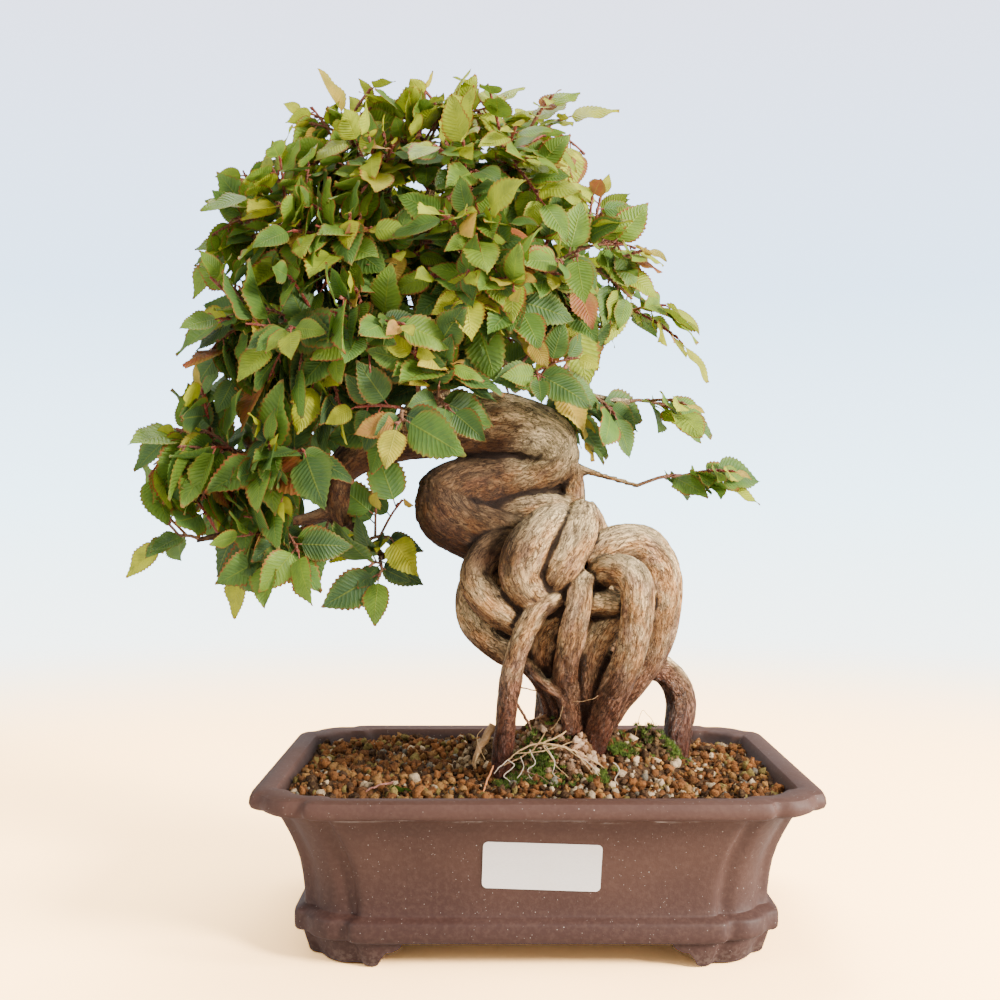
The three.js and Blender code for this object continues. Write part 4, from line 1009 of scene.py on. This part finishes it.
def buildPot(material):
    underside, footOuter = potLook["underside"], potLook["footOuter"]
    footInner = footOuter - potLook["footWidth"]
    shell = holderOf(planWalls(potLook["wall"]), "shell")
    outer = [*potLook["footRise"], (footOuter, underside - 1), (footOuter, underside + 1.5)]
    inner = [(footInner - 4, -1), (footInner, underside + 0.2)]
    cutters = [
        holderOf(planWalls(inner), "inside"),
        holderOf(throughPot(footGap(potLook["gapFront"]), False), "front"),
        holderOf(throughPot(footGap(potLook["gapSide"]), True), "side"),
    ]
    feet = combined(holderOf(planWalls(outer), "feet"), cutters, "DIFFERENCE")
    body = combined(shell, [feet], "UNION")
    drains = []
    for side in (-1, 1):
        bm = bmesh.new()
        bmesh.ops.create_cone(
            bm, cap_ends=True, segments=40, radius1=potLook["drainRadius"], radius2=potLook["drainRadius"],
            depth=30, matrix=Matrix.Translation((side * potLook["drainX"], 0, potLook["floorTop"])),
        )
        drains.append(holderOf(bm, "drain"))
    holder = combined(body, drains, "DIFFERENCE")
    mesh = holder.data.copy()
    bpy.data.objects.remove(holder)
    inward = [-vertex.normal.to_2d().dot(vertex.co.to_2d()) for vertex in mesh.vertices]
    layer = mesh.attributes.new("inside", "FLOAT", "POINT")
    layer.data.foreach_set("value", np.clip(np.array(inward) / potLook["insideReach"], 0, 1))
    mesh.transform(toFrame)
    mesh.polygons.foreach_set("use_smooth", [True] * len(mesh.polygons))
    mesh.set_sharp_from_angle(angle=math.radians(38))
    piece = placePiece("clay_pot", mesh, [material])
    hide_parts("pot")
    print("pot:", len(mesh.polygons), "faces")


# Unglazed brown clay: wine-dark low down, painted shade inside, with white specks and a chalky line under the
# lip
clayColours = {
    "dark": linear(70, 44, 34), "brown": linear(81, 54, 43), "wine": linear(60, 36, 31),
    "lip": linear(81, 52, 44), "dust": linear(99, 73, 62), "paintedShade": linear(42, 26, 21),
    "speck": linear(202, 188, 176), "chalk": linear(190, 176, 166), "foot": linear(170, 150, 136),
}


def clayMaterial():
    material, tree, shader = newMaterial("clay", 0.6, 0.34)
    place = placeOf(tree)
    height = addNode(tree, "ShaderNodeSeparateXYZ", {0: place}, "Z")
    broad = noiseOf(tree, place, 14, 4)
    colour = mixOf(tree, rangeOf(tree, broad, 0.35, 0.68), clayColours["dark"], clayColours["brown"])
    drift = timesOf(tree, broad, 0.03)
    wine = rangeOf(tree, mathOf(tree, "ADD", height, drift), 0.074, 0.036, 0, 0.75)
    colour = mixOf(tree, wine, colour, clayColours["wine"])
    lip = rangeOf(tree, height, 0.0765, 0.079, 0, 0.45)
    colour = mixOf(tree, lip, colour, clayColours["lip"])
    fine = noiseOf(tree, place, 420, 5, 0.65)
    colour = mixOf(tree, rangeOf(tree, fine, 0.4, 0.72, 0, 0.3), colour, clayColours["dust"])
    # Painted shade: the inner wall below the lip is darkened.
    inside = attributeOf(tree, "inside", "Fac")
    paintedShade = timesOf(tree, inside, rangeOf(tree, height, 0.086, 0.081, 0, 0.8))
    colour = mixOf(tree, paintedShade, colour, clayColours["paintedShade"])
    for scale, size, gate in ((260, 0.085, 0.56), (610, 0.13, 0.52)):
        speck = rangeOf(tree, cellsOf(tree, place, scale), size, size / 2)
        chosen = rangeOf(tree, noiseOf(tree, place, scale / 2, 2), gate, gate + 0.06)
        share = timesOf(tree, timesOf(tree, speck, chosen), 0.75)
        colour = mixOf(tree, share, colour, clayColours["speck"])
    wander = timesOf(tree, mathOf(tree, "SUBTRACT", noiseOf(tree, place, 34, 4), 0.5), 0.006)
    level = mathOf(tree, "ADD", height, wander)
    rub = bandOf(tree, level, (0.0735, 0.0752), (0.0772, 0.0758))
    streak = noiseOf(tree, placeOf(tree, (1, 1, 5)), 90, 5, 0.7)
    rub = timesOf(tree, rub, rangeOf(tree, streak, 0.46, 0.66))
    colour = mixOf(tree, timesOf(tree, rub, 0.5), colour, clayColours["chalk"])
    foot = timesOf(tree, rangeOf(tree, height, 0.012, 0.0), rangeOf(tree, fine, 0.45, 0.6))
    colour = mixOf(tree, timesOf(tree, foot, 0.16), colour, clayColours["foot"])
    tree.links.new(colour, shader.inputs["Base Color"])
    tree.links.new(rangeOf(tree, broad, 0.3, 0.7, 0.5, 0.68), shader.inputs["Roughness"])
    bump = bumpOf(tree, fine, 0.0003, 0.6)
    tree.links.new(bumpOf(tree, broad, 0.0012, 0.35, bump), shader.inputs["Normal"])
    return material


# Blank paper label on the front wall
labelLook = {
    "width": 57.0, "height": 24.0, "centre": (2.0, 51.0), "tilt": -2.0, "corner": 2.5, "lift": 0.25,
    "thick": 0.3, "rowPitch": 1.5,
}


# How far the outer wall stands in front of the pot's middle at a height
def wallDepth(z):
    rows = potLook["wall"][:potLook["outerRows"]]
    halfWidth = np.interp(z, [row[1] for row in rows], [row[0] for row in rows])
    return halfWidth - potLook["rimHalfWidth"] + potLook["rimHalfDepth"]


def buildLabel(material):
    bm = bmesh.new()
    w, h = labelLook["width"] / 2, labelLook["height"] / 2
    corners = [bm.verts.new((x, 0, z)) for x, z in ((-w, -h), (w, -h), (w, h), (-w, h))]
    bm.faces.new(corners)
    bmesh.ops.bevel(
        bm, geom=corners, affect="VERTICES", offset=labelLook["corner"], segments=6, profile=0.5, material=-1,
        offset_type="OFFSET",
    )
    for z in np.arange(-h + labelLook["rowPitch"], h, labelLook["rowPitch"]):
        geom = bm.verts[:] + bm.edges[:] + bm.faces[:]
        bmesh.ops.bisect_plane(bm, geom=geom, plane_co=(0, 0, z), plane_no=(0, 0, 1))
    turn = Matrix.Rotation(-math.radians(labelLook["tilt"]), 3, "Y")
    bmesh.ops.rotate(bm, verts=bm.verts, cent=(0, 0, 0), matrix=turn)
    for vertex in bm.verts:
        x, z = vertex.co.x + labelLook["centre"][0], vertex.co.z + labelLook["centre"][1]
        vertex.co = (x, -wallDepth(z) - labelLook["lift"], z)
    bmesh.ops.recalc_face_normals(bm, faces=bm.faces)
    if sum(face.normal.y for face in bm.faces) > 0:
        bmesh.ops.reverse_faces(bm, faces=bm.faces)
    bmesh.ops.solidify(bm, geom=bm.faces[:], thickness=-labelLook["thick"])
    bmesh.ops.recalc_face_normals(bm, faces=bm.faces)
    bmesh.ops.transform(bm, matrix=toFrame, verts=bm.verts)
    mesh = bpy.data.meshes.new("blank_label")
    bm.to_mesh(mesh)
    bm.free()
    mesh.polygons.foreach_set("use_smooth", [True] * len(mesh.polygons))
    mesh.set_sharp_from_angle(angle=math.radians(40))
    piece = placePiece("blank_label", mesh, [material])
    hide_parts("label")
    print("label:", len(mesh.polygons), "faces")


def paperMaterial():
    material, tree, shader = newMaterial("paper", 0.55, 0.4)
    place = placeOf(tree)
    fibre = noiseOf(tree, placeOf(tree, (1, 1, 3)), 700, 4)
    cloud = noiseOf(tree, place, 40, 3)
    warm = rangeOf(tree, fibre, 0.4, 0.65, 0, 0.5)
    colour = mixOf(tree, warm, linear(250, 240, 232), linear(240, 228, 218))
    colour = mixOf(tree, rangeOf(tree, cloud, 0.5, 0.75, 0, 0.4), colour, linear(244, 226, 214))
    tree.links.new(colour, shader.inputs["Base Color"])
    tree.links.new(bumpOf(tree, fibre, 0.00008, 0.5), shader.inputs["Normal"])
    return material


# Soil: granules of baked clay, pumice and bark over the bed, heaped up round the roots in tones of their own.
# Each kind has the draw up to which it is taken, and the rustiest of them lie thickest at one place.
soilLook = {
    "pitch": 3.7, "jitter": 0.45, "loose": 900, "shapes": 11, "seed": 11, "least": 0.95, "span": 1.75,
    "half": (126, 89), "looseMargin": 4, "bedLift": 0.1, "looseLift": 0.9, "stretch": (0.7, 1.25),
    "shade": (0.72, 1.2), "gain": 1.25, "paintedLightAcross": 0.0018,
    "rust": {"at": (40, -20), "reach": 75, "share": 0.2},
    "inside": (126.5, 89), "insideCorner": 24, "dropFrom": 125, "shift": 0.65, "grit": 0.75,
    "kinds": [
        (0.30, linear(120, 74, 38)), (0.52, linear(96, 58, 30)), (0.71, linear(58, 38, 24)),
        (0.84, linear(138, 98, 54)), (0.93, linear(112, 96, 50)), (0.96, linear(110, 104, 92)),
        (1.0, linear(178, 154, 122)),
    ],
    "heaps": [
        {
            "middle": (12, -22), "spread": (25, 17), "height": 24, "count": 900,
            "tones": [(168, 130, 100), (140, 100, 68), (184, 152, 122), (104, 72, 46)],
        },
        {
            "middle": (22, -30), "spread": (9, 8), "height": 22, "count": 160,
            "tones": [(156, 118, 90), (124, 88, 60), (180, 150, 122), (98, 68, 44)],
        },
        {
            "middle": (66, 9), "spread": (16, 12), "height": 15, "count": 420,
            "tones": [(56, 40, 27), (80, 58, 38), (44, 33, 22), (116, 88, 58)],
        },
        {
            "middle": (-28, 2), "spread": (17, 13), "height": 11, "count": 330,
            "tones": [(96, 74, 48), (124, 98, 66), (64, 46, 30), (164, 140, 108)],
        },
    ],
}
mossLook = {
    "tufts": 430, "blades": 16, "height": 2.6, "seed": 23, "shapes": 4, "lift": 1.2, "scatter": 0.6,
    "dark": linear(44, 66, 22), "light": linear(98, 122, 42),
    "patches": [
        (8, -40, 9), (-13, -40, 6), (44, -15, 6), (33, -42, 5), (64, 2, 10), (79, 6, 6), (-6, -30, 8),
        (40, 34, 14), (-20, 20, 9), (4, -37, 6),
    ],
}


# A rough granule about one unit in radius
def granulePattern(seed):
    bm = bmesh.new()
    bmesh.ops.create_uvsphere(bm, u_segments=6, v_segments=5, radius=1)
    for vertex in bm.verts:
        shift = noise.noise(vertex.co * 1.1 + Vector((seed * 9, 0, 0)))
        grit = noise.noise(vertex.co * 2.6 + Vector((0, seed * 7, 0)))
        vertex.co *= 1 + soilLook["shift"] * shift + soilLook["grit"] * grit
    return shapeOf(bm)


# A turn about any axis, drawn at random
def turnOf(draw):
    axis = Vector((draw.gauss(0, 1), draw.gauss(0, 1), draw.gauss(0, 1)))
    return np.array(Matrix.Rotation(draw.uniform(0, 6.28), 3, axis))


# The ground that pieces lie on, and how far a place is from the wood: less than nothing inside it
class Ground:
    def __init__(self, woodPiece):
        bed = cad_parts["soil"].data
        self.bed = BVHTree.FromPolygons([v.co for v in bed.vertices], [p.vertices for p in bed.polygons])
        wood = woodPiece.data
        self.wood = BVHTree.FromPolygons([v.co for v in wood.vertices], [p.vertices for p in wood.polygons])

    def heightAt(self, x, y):
        above = toFrame @ Vector((x, y, soilLook["dropFrom"]))
        hit = self.bed.ray_cast(above, Vector((0, 0, -1)))[0]
        return None if hit is None else (toPot @ hit).z

    def woodGap(self, place):
        near, normal, _, gap = self.wood.find_nearest(toFrame @ Vector(place))
        inside = (toFrame @ Vector(place) - near).dot(normal) < 0
        return -gap / millimetre if inside else gap / millimetre


# True inside the lip, which is taken as a rectangle with round corners, and clear of it by a margin
def insidePot(x, y, margin):
    halfWidth, halfDepth = (half - margin for half in soilLook["inside"])
    corner = soilLook["insideCorner"]
    past = max(0, abs(x) - halfWidth + corner) ** 2 + max(0, abs(y) - halfDepth + corner) ** 2
    return abs(x) < halfWidth and abs(y) < halfDepth and past < corner**2


# How far granules are heaped above the bed at a place
def heapAt(x, y):
    rises = [0.0]
    for pile in soilLook["heaps"]:
        (middleX, middleY), (spreadX, spreadY) = pile["middle"], pile["spread"]
        away = math.hypot((x - middleX) / spreadX, (y - middleY) / spreadY)
        rises.append(pile["height"] * (1 - away**2))
    return max(rises)


# Where granules go, with how high each lies and the tones of its heap: first a bed in rows, then loose ones
# on it, then the heaps
def granuleSpots(draw):
    pitch, jitter, margin = soilLook["pitch"], soilLook["jitter"], soilLook["looseMargin"]
    halfWidth, halfDepth = soilLook["half"]
    bed, upper = [], []
    for x in np.arange(-halfWidth, halfWidth + 1, pitch):
        for y in np.arange(-halfDepth, halfDepth + 1, pitch):
            aside = draw.uniform(-jitter, jitter) * pitch
            ahead = draw.uniform(-jitter, jitter) * pitch
            bed.append((x + aside, y + ahead, soilLook["bedLift"], None))
    for _ in range(soilLook["loose"]):
        x = draw.uniform(margin - halfWidth, halfWidth - margin)
        y = draw.uniform(margin - halfDepth, halfDepth - margin)
        upper.append((x, y, soilLook["looseLift"], None))
    for pile in soilLook["heaps"]:
        tones = [linear(*tone) for tone in pile["tones"]]
        for _ in range(pile["count"]):
            away, angle = draw.random() ** 0.5, draw.uniform(0, 2 * math.pi)
            x = pile["middle"][0] + pile["spread"][0] * away * math.cos(angle)
            y = pile["middle"][1] + pile["spread"][1] * away * math.sin(angle)
            upper.append((x, y, 0.0, tones))
    return bed, upper


def buildSoil(ground, material, mossFinish):
    draw = random.Random(soilLook["seed"])
    patterns = [granulePattern(seed) for seed in range(soilLook["shapes"])]
    rust = soilLook["rust"]
    bedSpots, upperSpots = granuleSpots(draw)
    bed, loose = Heap(), Heap()
    for number, (x, y, lift, tones) in enumerate(bedSpots + upperSpots):
        radius = soilLook["least"] + soilLook["span"] * draw.random() ** 1.8
        z = ground.heightAt(x, y)
        kind, turn = draw.random(), turnOf(draw)
        stretch = [draw.uniform(*soilLook["stretch"]) for _ in range(3)]
        shape = patterns[draw.randrange(len(patterns))]
        rise = 0 if tones is None else (heapAt(x, y) - radius * 0.4) * draw.random() ** 0.6
        if z is None or not insidePot(x, y, radius) or ground.woodGap((x, y, z + rise + 1)) < 0.4 * radius:
            continue
        away = math.hypot(x - rust["at"][0], y - rust["at"][1])
        rusty = max(0, 1 - away / rust["reach"]) * rust["share"]
        tone = next(colour for limit, colour in soilLook["kinds"] if kind <= max(limit - rusty, limit == 1.0))
        if tones is not None:
            tone = tones[int(kind * len(tones))]
        # Painted light: on top of an overall gain, granules are drawn brighter towards +x, the side the light
        # comes from.
        gain = soilLook["gain"] + soilLook["paintedLightAcross"] * x
        tone = np.asarray(tone) * draw.uniform(*soilLook["shade"]) * gain
        points = (shape[0] * stretch) @ turn * radius + (x, y, z + rise + radius * (0.15 + lift))
        (bed if number < len(bedSpots) else loose).add(points, shape[1], tone)
    for name, heap in (("granules", bed), ("loose_granules", loose)):
        heap.write(name, [material])
        print(name, "faces:", len(heap.faces))
    buildMoss(ground, mossFinish)


def mossPattern(draw):
    heap = Heap()
    for _ in range(mossLook["blades"]):
        bm = bmesh.new()
        bmesh.ops.create_cone(bm, segments=3, radius1=0.3, radius2=0.04, depth=mossLook["height"])
        bmesh.ops.translate(bm, verts=bm.verts, vec=(0, 0, mossLook["height"] / 2))
        lean = Matrix.Rotation(draw.uniform(0.1, 1.0), 3, (draw.gauss(0, 1), draw.gauss(0, 1), 0))
        bmesh.ops.rotate(bm, verts=bm.verts, cent=(0, 0, 0), matrix=lean)
        bmesh.ops.translate(bm, verts=bm.verts, vec=(draw.gauss(0, 0.9), draw.gauss(0, 0.9), 0))
        heap.add(*shapeOf(bm))
    return np.vstack(heap.points), heap.faces


# Moss grows in patches round the roots
def buildMoss(ground, material):
    draw = random.Random(mossLook["seed"])
    patterns = [mossPattern(draw) for _ in range(mossLook["shapes"])]
    heap = Heap()
    while len(heap.faces) < mossLook["tufts"] * mossLook["blades"] * 3:
        x, y, spread = mossLook["patches"][draw.randrange(len(mossLook["patches"]))]
        x, y = draw.gauss(x, spread * mossLook["scatter"]), draw.gauss(y, spread * mossLook["scatter"])
        z = ground.heightAt(x, y)
        turn, scale = draw.uniform(0, 6.28), draw.uniform(0.6, 1.15)
        shape = patterns[draw.randrange(len(patterns))]
        if z is None or not insidePot(x, y, 3) or ground.woodGap((x, y, z + heapAt(x, y) + 1)) < 0.2:
            continue
        top = z + heapAt(x, y) + mossLook["lift"]
        points = shape[0] @ np.array(Matrix.Rotation(turn, 3, "Z")) * scale + (x, y, top)
        tone = mixed(mossLook["dark"], mossLook["light"], draw.random() ** 1.4)
        heap.add(points, shape[1], tone)
    piece = heap.write("moss", [material])
    print("moss:", len(heap.faces), "faces")


# Dry stems, rootlets, hairs and a fallen leaf on the soil: tone, then rows of x, y, z and radius
litterLook = {
    "tan": linear(164, 124, 80), "straw": linear(192, 156, 106), "orange": linear(184, 112, 60),
    "dark": linear(92, 56, 38), "chalk": linear(196, 180, 158), "pink": linear(172, 108, 98),
    "kink": 0.6, "kinkLength": 3, "kinkShift": (31.4, 17.7, 5.2),
    "stems": [
        ("tan", [(-22, -6, 105, 2.3), (-26, -8, 98, 2.1), (-31, -11, 90, 1.4), (-33, -13, 82, 0.7)]),
        ("straw", [(-29, -10, 93, 0.6), (-31, -14, 87, 0.45), (-31, -16, 81, 0.3)]),
        ("orange", [(-21.6, -45, 91, 0.4), (-24, -55, 87, 0.5), (-28, -70, 80, 0.4)]),
        ("straw", [
            (-14, -38, 93, 0.3), (-5, -37, 99, 0.45), (4, -36, 101, 0.5), (13, -34, 105, 0.45),
            (18, -30, 108, 0.3),
        ]),
        ("straw", [
            (2, -36, 101, 0.5), (12, -38, 100, 0.75), (20, -37, 97, 0.65), (28, -34, 93, 0.5),
            (37, -34, 87, 0.2),
        ]),
        ("straw", [(-10, -38, 96, 0.3), (0, -39, 97, 0.35), (9, -39, 99, 0.35), (19, -37, 102, 0.25)]),
        ("tan", [(-16, -38, 90, 0.35), (-6, -38, 95, 0.4), (1, -37, 100, 0.35), (6, -33, 108, 0.25)]),
        ("straw", [(4, -37, 100, 0.3), (8, -40, 95, 0.3), (11, -41, 90, 0.22), (17, -44, 85, 0.18)]),
        ("chalk", [(6, -38, 99, 0.25), (10, -41, 92, 0.25), (9, -43, 87, 0.2), (13, -45, 84, 0.15)]),
        ("straw", [(20, -38, 97, 0.35), (27, -40, 91, 0.28), (34, -42, 85, 0.18)]),
        ("straw", [(13, -38, 100, 0.3), (22, -41, 95, 0.28), (29, -43, 87, 0.2)]),
        ("chalk", [(24, -39, 94, 0.25), (30, -42, 89, 0.22), (33, -46, 84, 0.15)]),
        ("chalk", [(-14, -38, 93, 0.3), (-11, -40, 90, 0.28), (-16, -43, 86, 0.25), (-13, -45, 83, 0.2)]),
        ("chalk", [(-14, -38, 93, 0.25), (-18, -41, 90, 0.22), (-21, -43, 87, 0.18)]),
        ("chalk", [(-3, -38, 98, 0.28), (0, -41, 92, 0.25), (-4, -43, 88, 0.22), (-1, -46, 83, 0.15)]),
        ("chalk", [(-8, -39, 95, 0.25), (-6, -42, 90, 0.22), (-9, -45, 85, 0.18)]),
        ("chalk", [(40, -41, 92, 0.28), (43, -41, 88, 0.35), (40.5, -42, 84, 0.3), (42, -44, 81, 0.2)]),
        ("dark", [(-5, -44, 88, 0.3), (2, -46, 86, 0.35), (8, -48, 82, 0.3)]),
        ("dark", [(-12, -39, 126, 0.7), (-8, -36, 119, 0.75), (-4, -31, 112, 0.8), (-2, -26, 106, 0.8)]),
        ("dark", [(-11, -42, 131, 0.45), (-5, -41, 130, 0.4), (1, -37, 128, 0.35)]),
        ("tan", [
            (56, 2, 98, 0.2), (58, 1, 108, 0.15), (60, 1, 112, 0.14), (62, 2, 110, 0.15), (66, 4, 104, 0.2),
        ]),
        ("tan", [(19, -45, 124, 0.15), (25, -46, 124, 0.15), (32, -45, 127, 0.15)]),
        ("straw", [(-26, -34, 92, 0.15), (-30, -36, 103, 0.15), (-27, -36, 109, 0.15)]),
        ("straw", [(14, -44, 121, 0.15), (12, -40, 114, 0.15), (8, -38, 108, 0.15)]),
        ("pink", [(-85, -60, 82, 0.4), (-77, -60, 85, 0.45), (-71, -60, 86.5, 0.6)]),
    ],
    "leaf": {"place": (-76, -58, 82), "along": (0.95, 0.1, 0.1), "width": (0.1, -0.8, 0.55), "size": 15},
}


def buildLitter(stemFinish, leafFinish):
    heap = Heap()
    for tone, rows in litterLook["stems"]:
        fine = curveAt(rows, np.linspace(0, 1, 5 * len(rows)))
        for row in fine:
            at = Vector(row[:3]) / litterLook["kinkLength"]
            kink = [noise.noise(at + Vector(litterLook["kinkShift"]) * axis) for axis in range(3)]
            row[:3] += np.array(kink) * litterLook["kink"]
        heap.add(*meshArrays(tubeMesh([fine], 1)), litterLook[tone])
    net, netFaces = leafPattern()
    fallen = {key: np.array(value, float) for key, value in litterLook["leaf"].items()}
    fallen.update(face=np.cross(fallen["width"], fallen["along"]), seed=3)
    spots = np.column_stack([0.5 + net[:, 2] / 2, net[:, 0]])
    heap.add(leafPoints(fallen, net), netFaces, leafColours["mid"], spots, 1, 0.6)
    piece = heap.write("litter", [stemFinish, leafFinish])
    print("litter:", len(heap.faces), "faces")


# The bed has one dark colour, and the granules on it a tone each
def soilMaterial(name, seat):
    material, tree, shader = newMaterial(name, 0.95, 0.15)
    place = placeOf(tree)
    grit = noiseOf(tree, place, 700, 5, 0.7)
    colour = linear(70, 48, 32) if seat else attributeOf(tree, "tone", "Color")
    dusty = mixOf(tree, rangeOf(tree, grit, 0.45, 0.75, 0, 0.35), colour, linear(156, 126, 84))
    dark = mixOf(tree, rangeOf(tree, grit, 0.52, 0.3, 0, 0.7), dusty, linear(38, 26, 17))
    tree.links.new(dark, shader.inputs["Base Color"])
    tree.links.new(bumpOf(tree, grit, 0.0014, 1.0), shader.inputs["Normal"])
    return material


def mossMaterial():
    material, tree, shader = newMaterial("moss", 0.8, 0.2)
    tone = attributeOf(tree, "tone", "Color")
    fleck = noiseOf(tree, placeOf(tree), 600, 3)
    colour = mixOf(tree, rangeOf(tree, fleck, 0.4, 0.7, 0, 0.5), tone, linear(140, 150, 70))
    tree.links.new(colour, shader.inputs["Base Color"])
    return material


def plasticMaterial():
    material, tree, shader = newMaterial("mesh_plastic", 0.55, 0.5)
    scuff = noiseOf(tree, placeOf(tree), 300, 4)
    colour = mixOf(tree, rangeOf(tree, scuff, 0.4, 0.7), linear(38, 38, 36), linear(58, 56, 52))
    tree.links.new(colour, shader.inputs["Base Color"])
    tree.links.new(bumpOf(tree, scuff, 0.0001, 0.4), shader.inputs["Normal"])
    return material


def dressNode(name, material):
    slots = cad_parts[name].data.materials
    slots.clear()
    slots.append(material)


wood = buildWood(barkMaterial())
twigFinish, leafFinish = twigMaterial(), leafMaterial()
buildSprays(twigFinish, leafFinish)
buildPot(clayMaterial())
buildLabel(paperMaterial())
dressNode("soil", soilMaterial("soil_bed", True))
buildSoil(Ground(wood), soilMaterial("granule", False), mossMaterial())
buildLitter(twigFinish, leafFinish)
screenPlastic = plasticMaterial()
for screen in ("drain_screen_left", "drain_screen_right"):
    dressNode(screen, screenPlastic)


# Studio: a cream floor that clears into a pale sky, and soft lights. The camera sees floor and sky brighter
# than they light the tree. Each light has its name, place, size, power and colour.
studioLook = {
    "floorRadius": 3.0, "floorLit": (0.8, 0.7, 0.61), "floorSeen": (3.7, 2.3, 1.0),
    "near": 0.45, "far": 1.5, "below": 0.0002, "skyLit": linear(240, 242, 244), "world": 0.95, "skySeen": 5.5,
    "aim": (0, 0, 0.25),
    "sky": [
        (-0.3, (1.0, 0.8, 0.6)), (-0.16, (0.95, 0.98, 0.9)), (0.0, (0.62, 0.85, 1.0)),
        (0.16, (0.42, 0.58, 0.78)), (0.37, (0.45, 0.48, 0.6)),
    ],
    "lights": [
        ("key", (1.5, -1.15, 1.0), 0.5, 82, (1, 0.96, 0.9)),
        ("fill", (-1.4, -0.9, 1.1), 0.9, 9, (1, 0.98, 0.96)),
        ("top", (-0.2, 0.6, 1.9), 1.0, 34, (0.97, 0.98, 1)),
        ("side", (1.7, -0.45, 0.4), 0.4, 46, (1, 0.96, 0.9)),
    ],
}


def buildFloor():
    bm = bmesh.new()
    bmesh.ops.create_circle(bm, cap_ends=True, segments=96, radius=studioLook["floorRadius"])
    bmesh.ops.translate(bm, verts=bm.verts, vec=(0, 0, -studioLook["below"]))
    floor = holderOf(bm, "floor")
    material, tree, shader = newMaterial("floor", 0.9, 0.2)
    away = addNode(tree, "ShaderNodeVectorMath", {0: placeOf(tree)}, "Value", operation="LENGTH")
    seen = addNode(tree, "ShaderNodeLightPath", {}, "Is Camera Ray")
    colour = mixOf(tree, seen, studioLook["floorLit"], studioLook["floorSeen"])
    matte = addNode(tree, "ShaderNodeBsdfDiffuse", {"Color": colour})
    clear = addNode(tree, "ShaderNodeBsdfTransparent", {})
    fade = rangeOf(tree, away, studioLook["near"], studioLook["far"])
    both = addNode(tree, "ShaderNodeMixShader", {0: fade, 1: matte, 2: clear})
    tree.links.new(both, tree.nodes["Material Output"].inputs["Surface"])
    tree.nodes.remove(shader)
    floor.data.materials.append(material)


def buildSky():
    world = bpy.data.worlds.new("studio")
    bpy.context.scene.world = world
    world.use_nodes = True
    tree = world.node_tree
    direction = addNode(tree, "ShaderNodeTexCoord", {}, "Generated")
    rise = addNode(tree, "ShaderNodeSeparateXYZ", {0: direction}, "Z")
    stops = studioLook["sky"]
    sky = stops[0][1]
    for (below, _), (height, colour) in zip(stops, stops[1:]):
        share = addNode(tree, "ShaderNodeMapRange", {"Value": rise, "From Min": below, "From Max": height})
        sky = mixOf(tree, share, sky, colour)
    seen = addNode(tree, "ShaderNodeLightPath", {}, "Is Camera Ray")
    sky = mixOf(tree, seen, studioLook["skyLit"], sky)
    tree.links.new(sky, tree.nodes["Background"].inputs["Color"])
    strength = rangeOf(tree, seen, 0, 1, studioLook["world"], studioLook["skySeen"])
    tree.links.new(strength, tree.nodes["Background"].inputs["Strength"])


# A soft light at a place, turned towards the middle of the tree
def addLight(name, place, size, power, colour):
    data = bpy.data.lights.new(name, "AREA")
    data.shape = "DISK"
    data.size = size
    data.energy = power
    data.color = colour
    light = bpy.data.objects.new(name, data)
    light.location = place
    light.rotation_euler = (Vector(studioLook["aim"]) - Vector(place)).to_track_quat("-Z", "Y").to_euler()
    bpy.context.scene.collection.objects.link(light)


buildFloor()
buildSky()
for row in studioLook["lights"]:
    addLight(*row)
print("studio:", len(studioLook["lights"]), "lights")
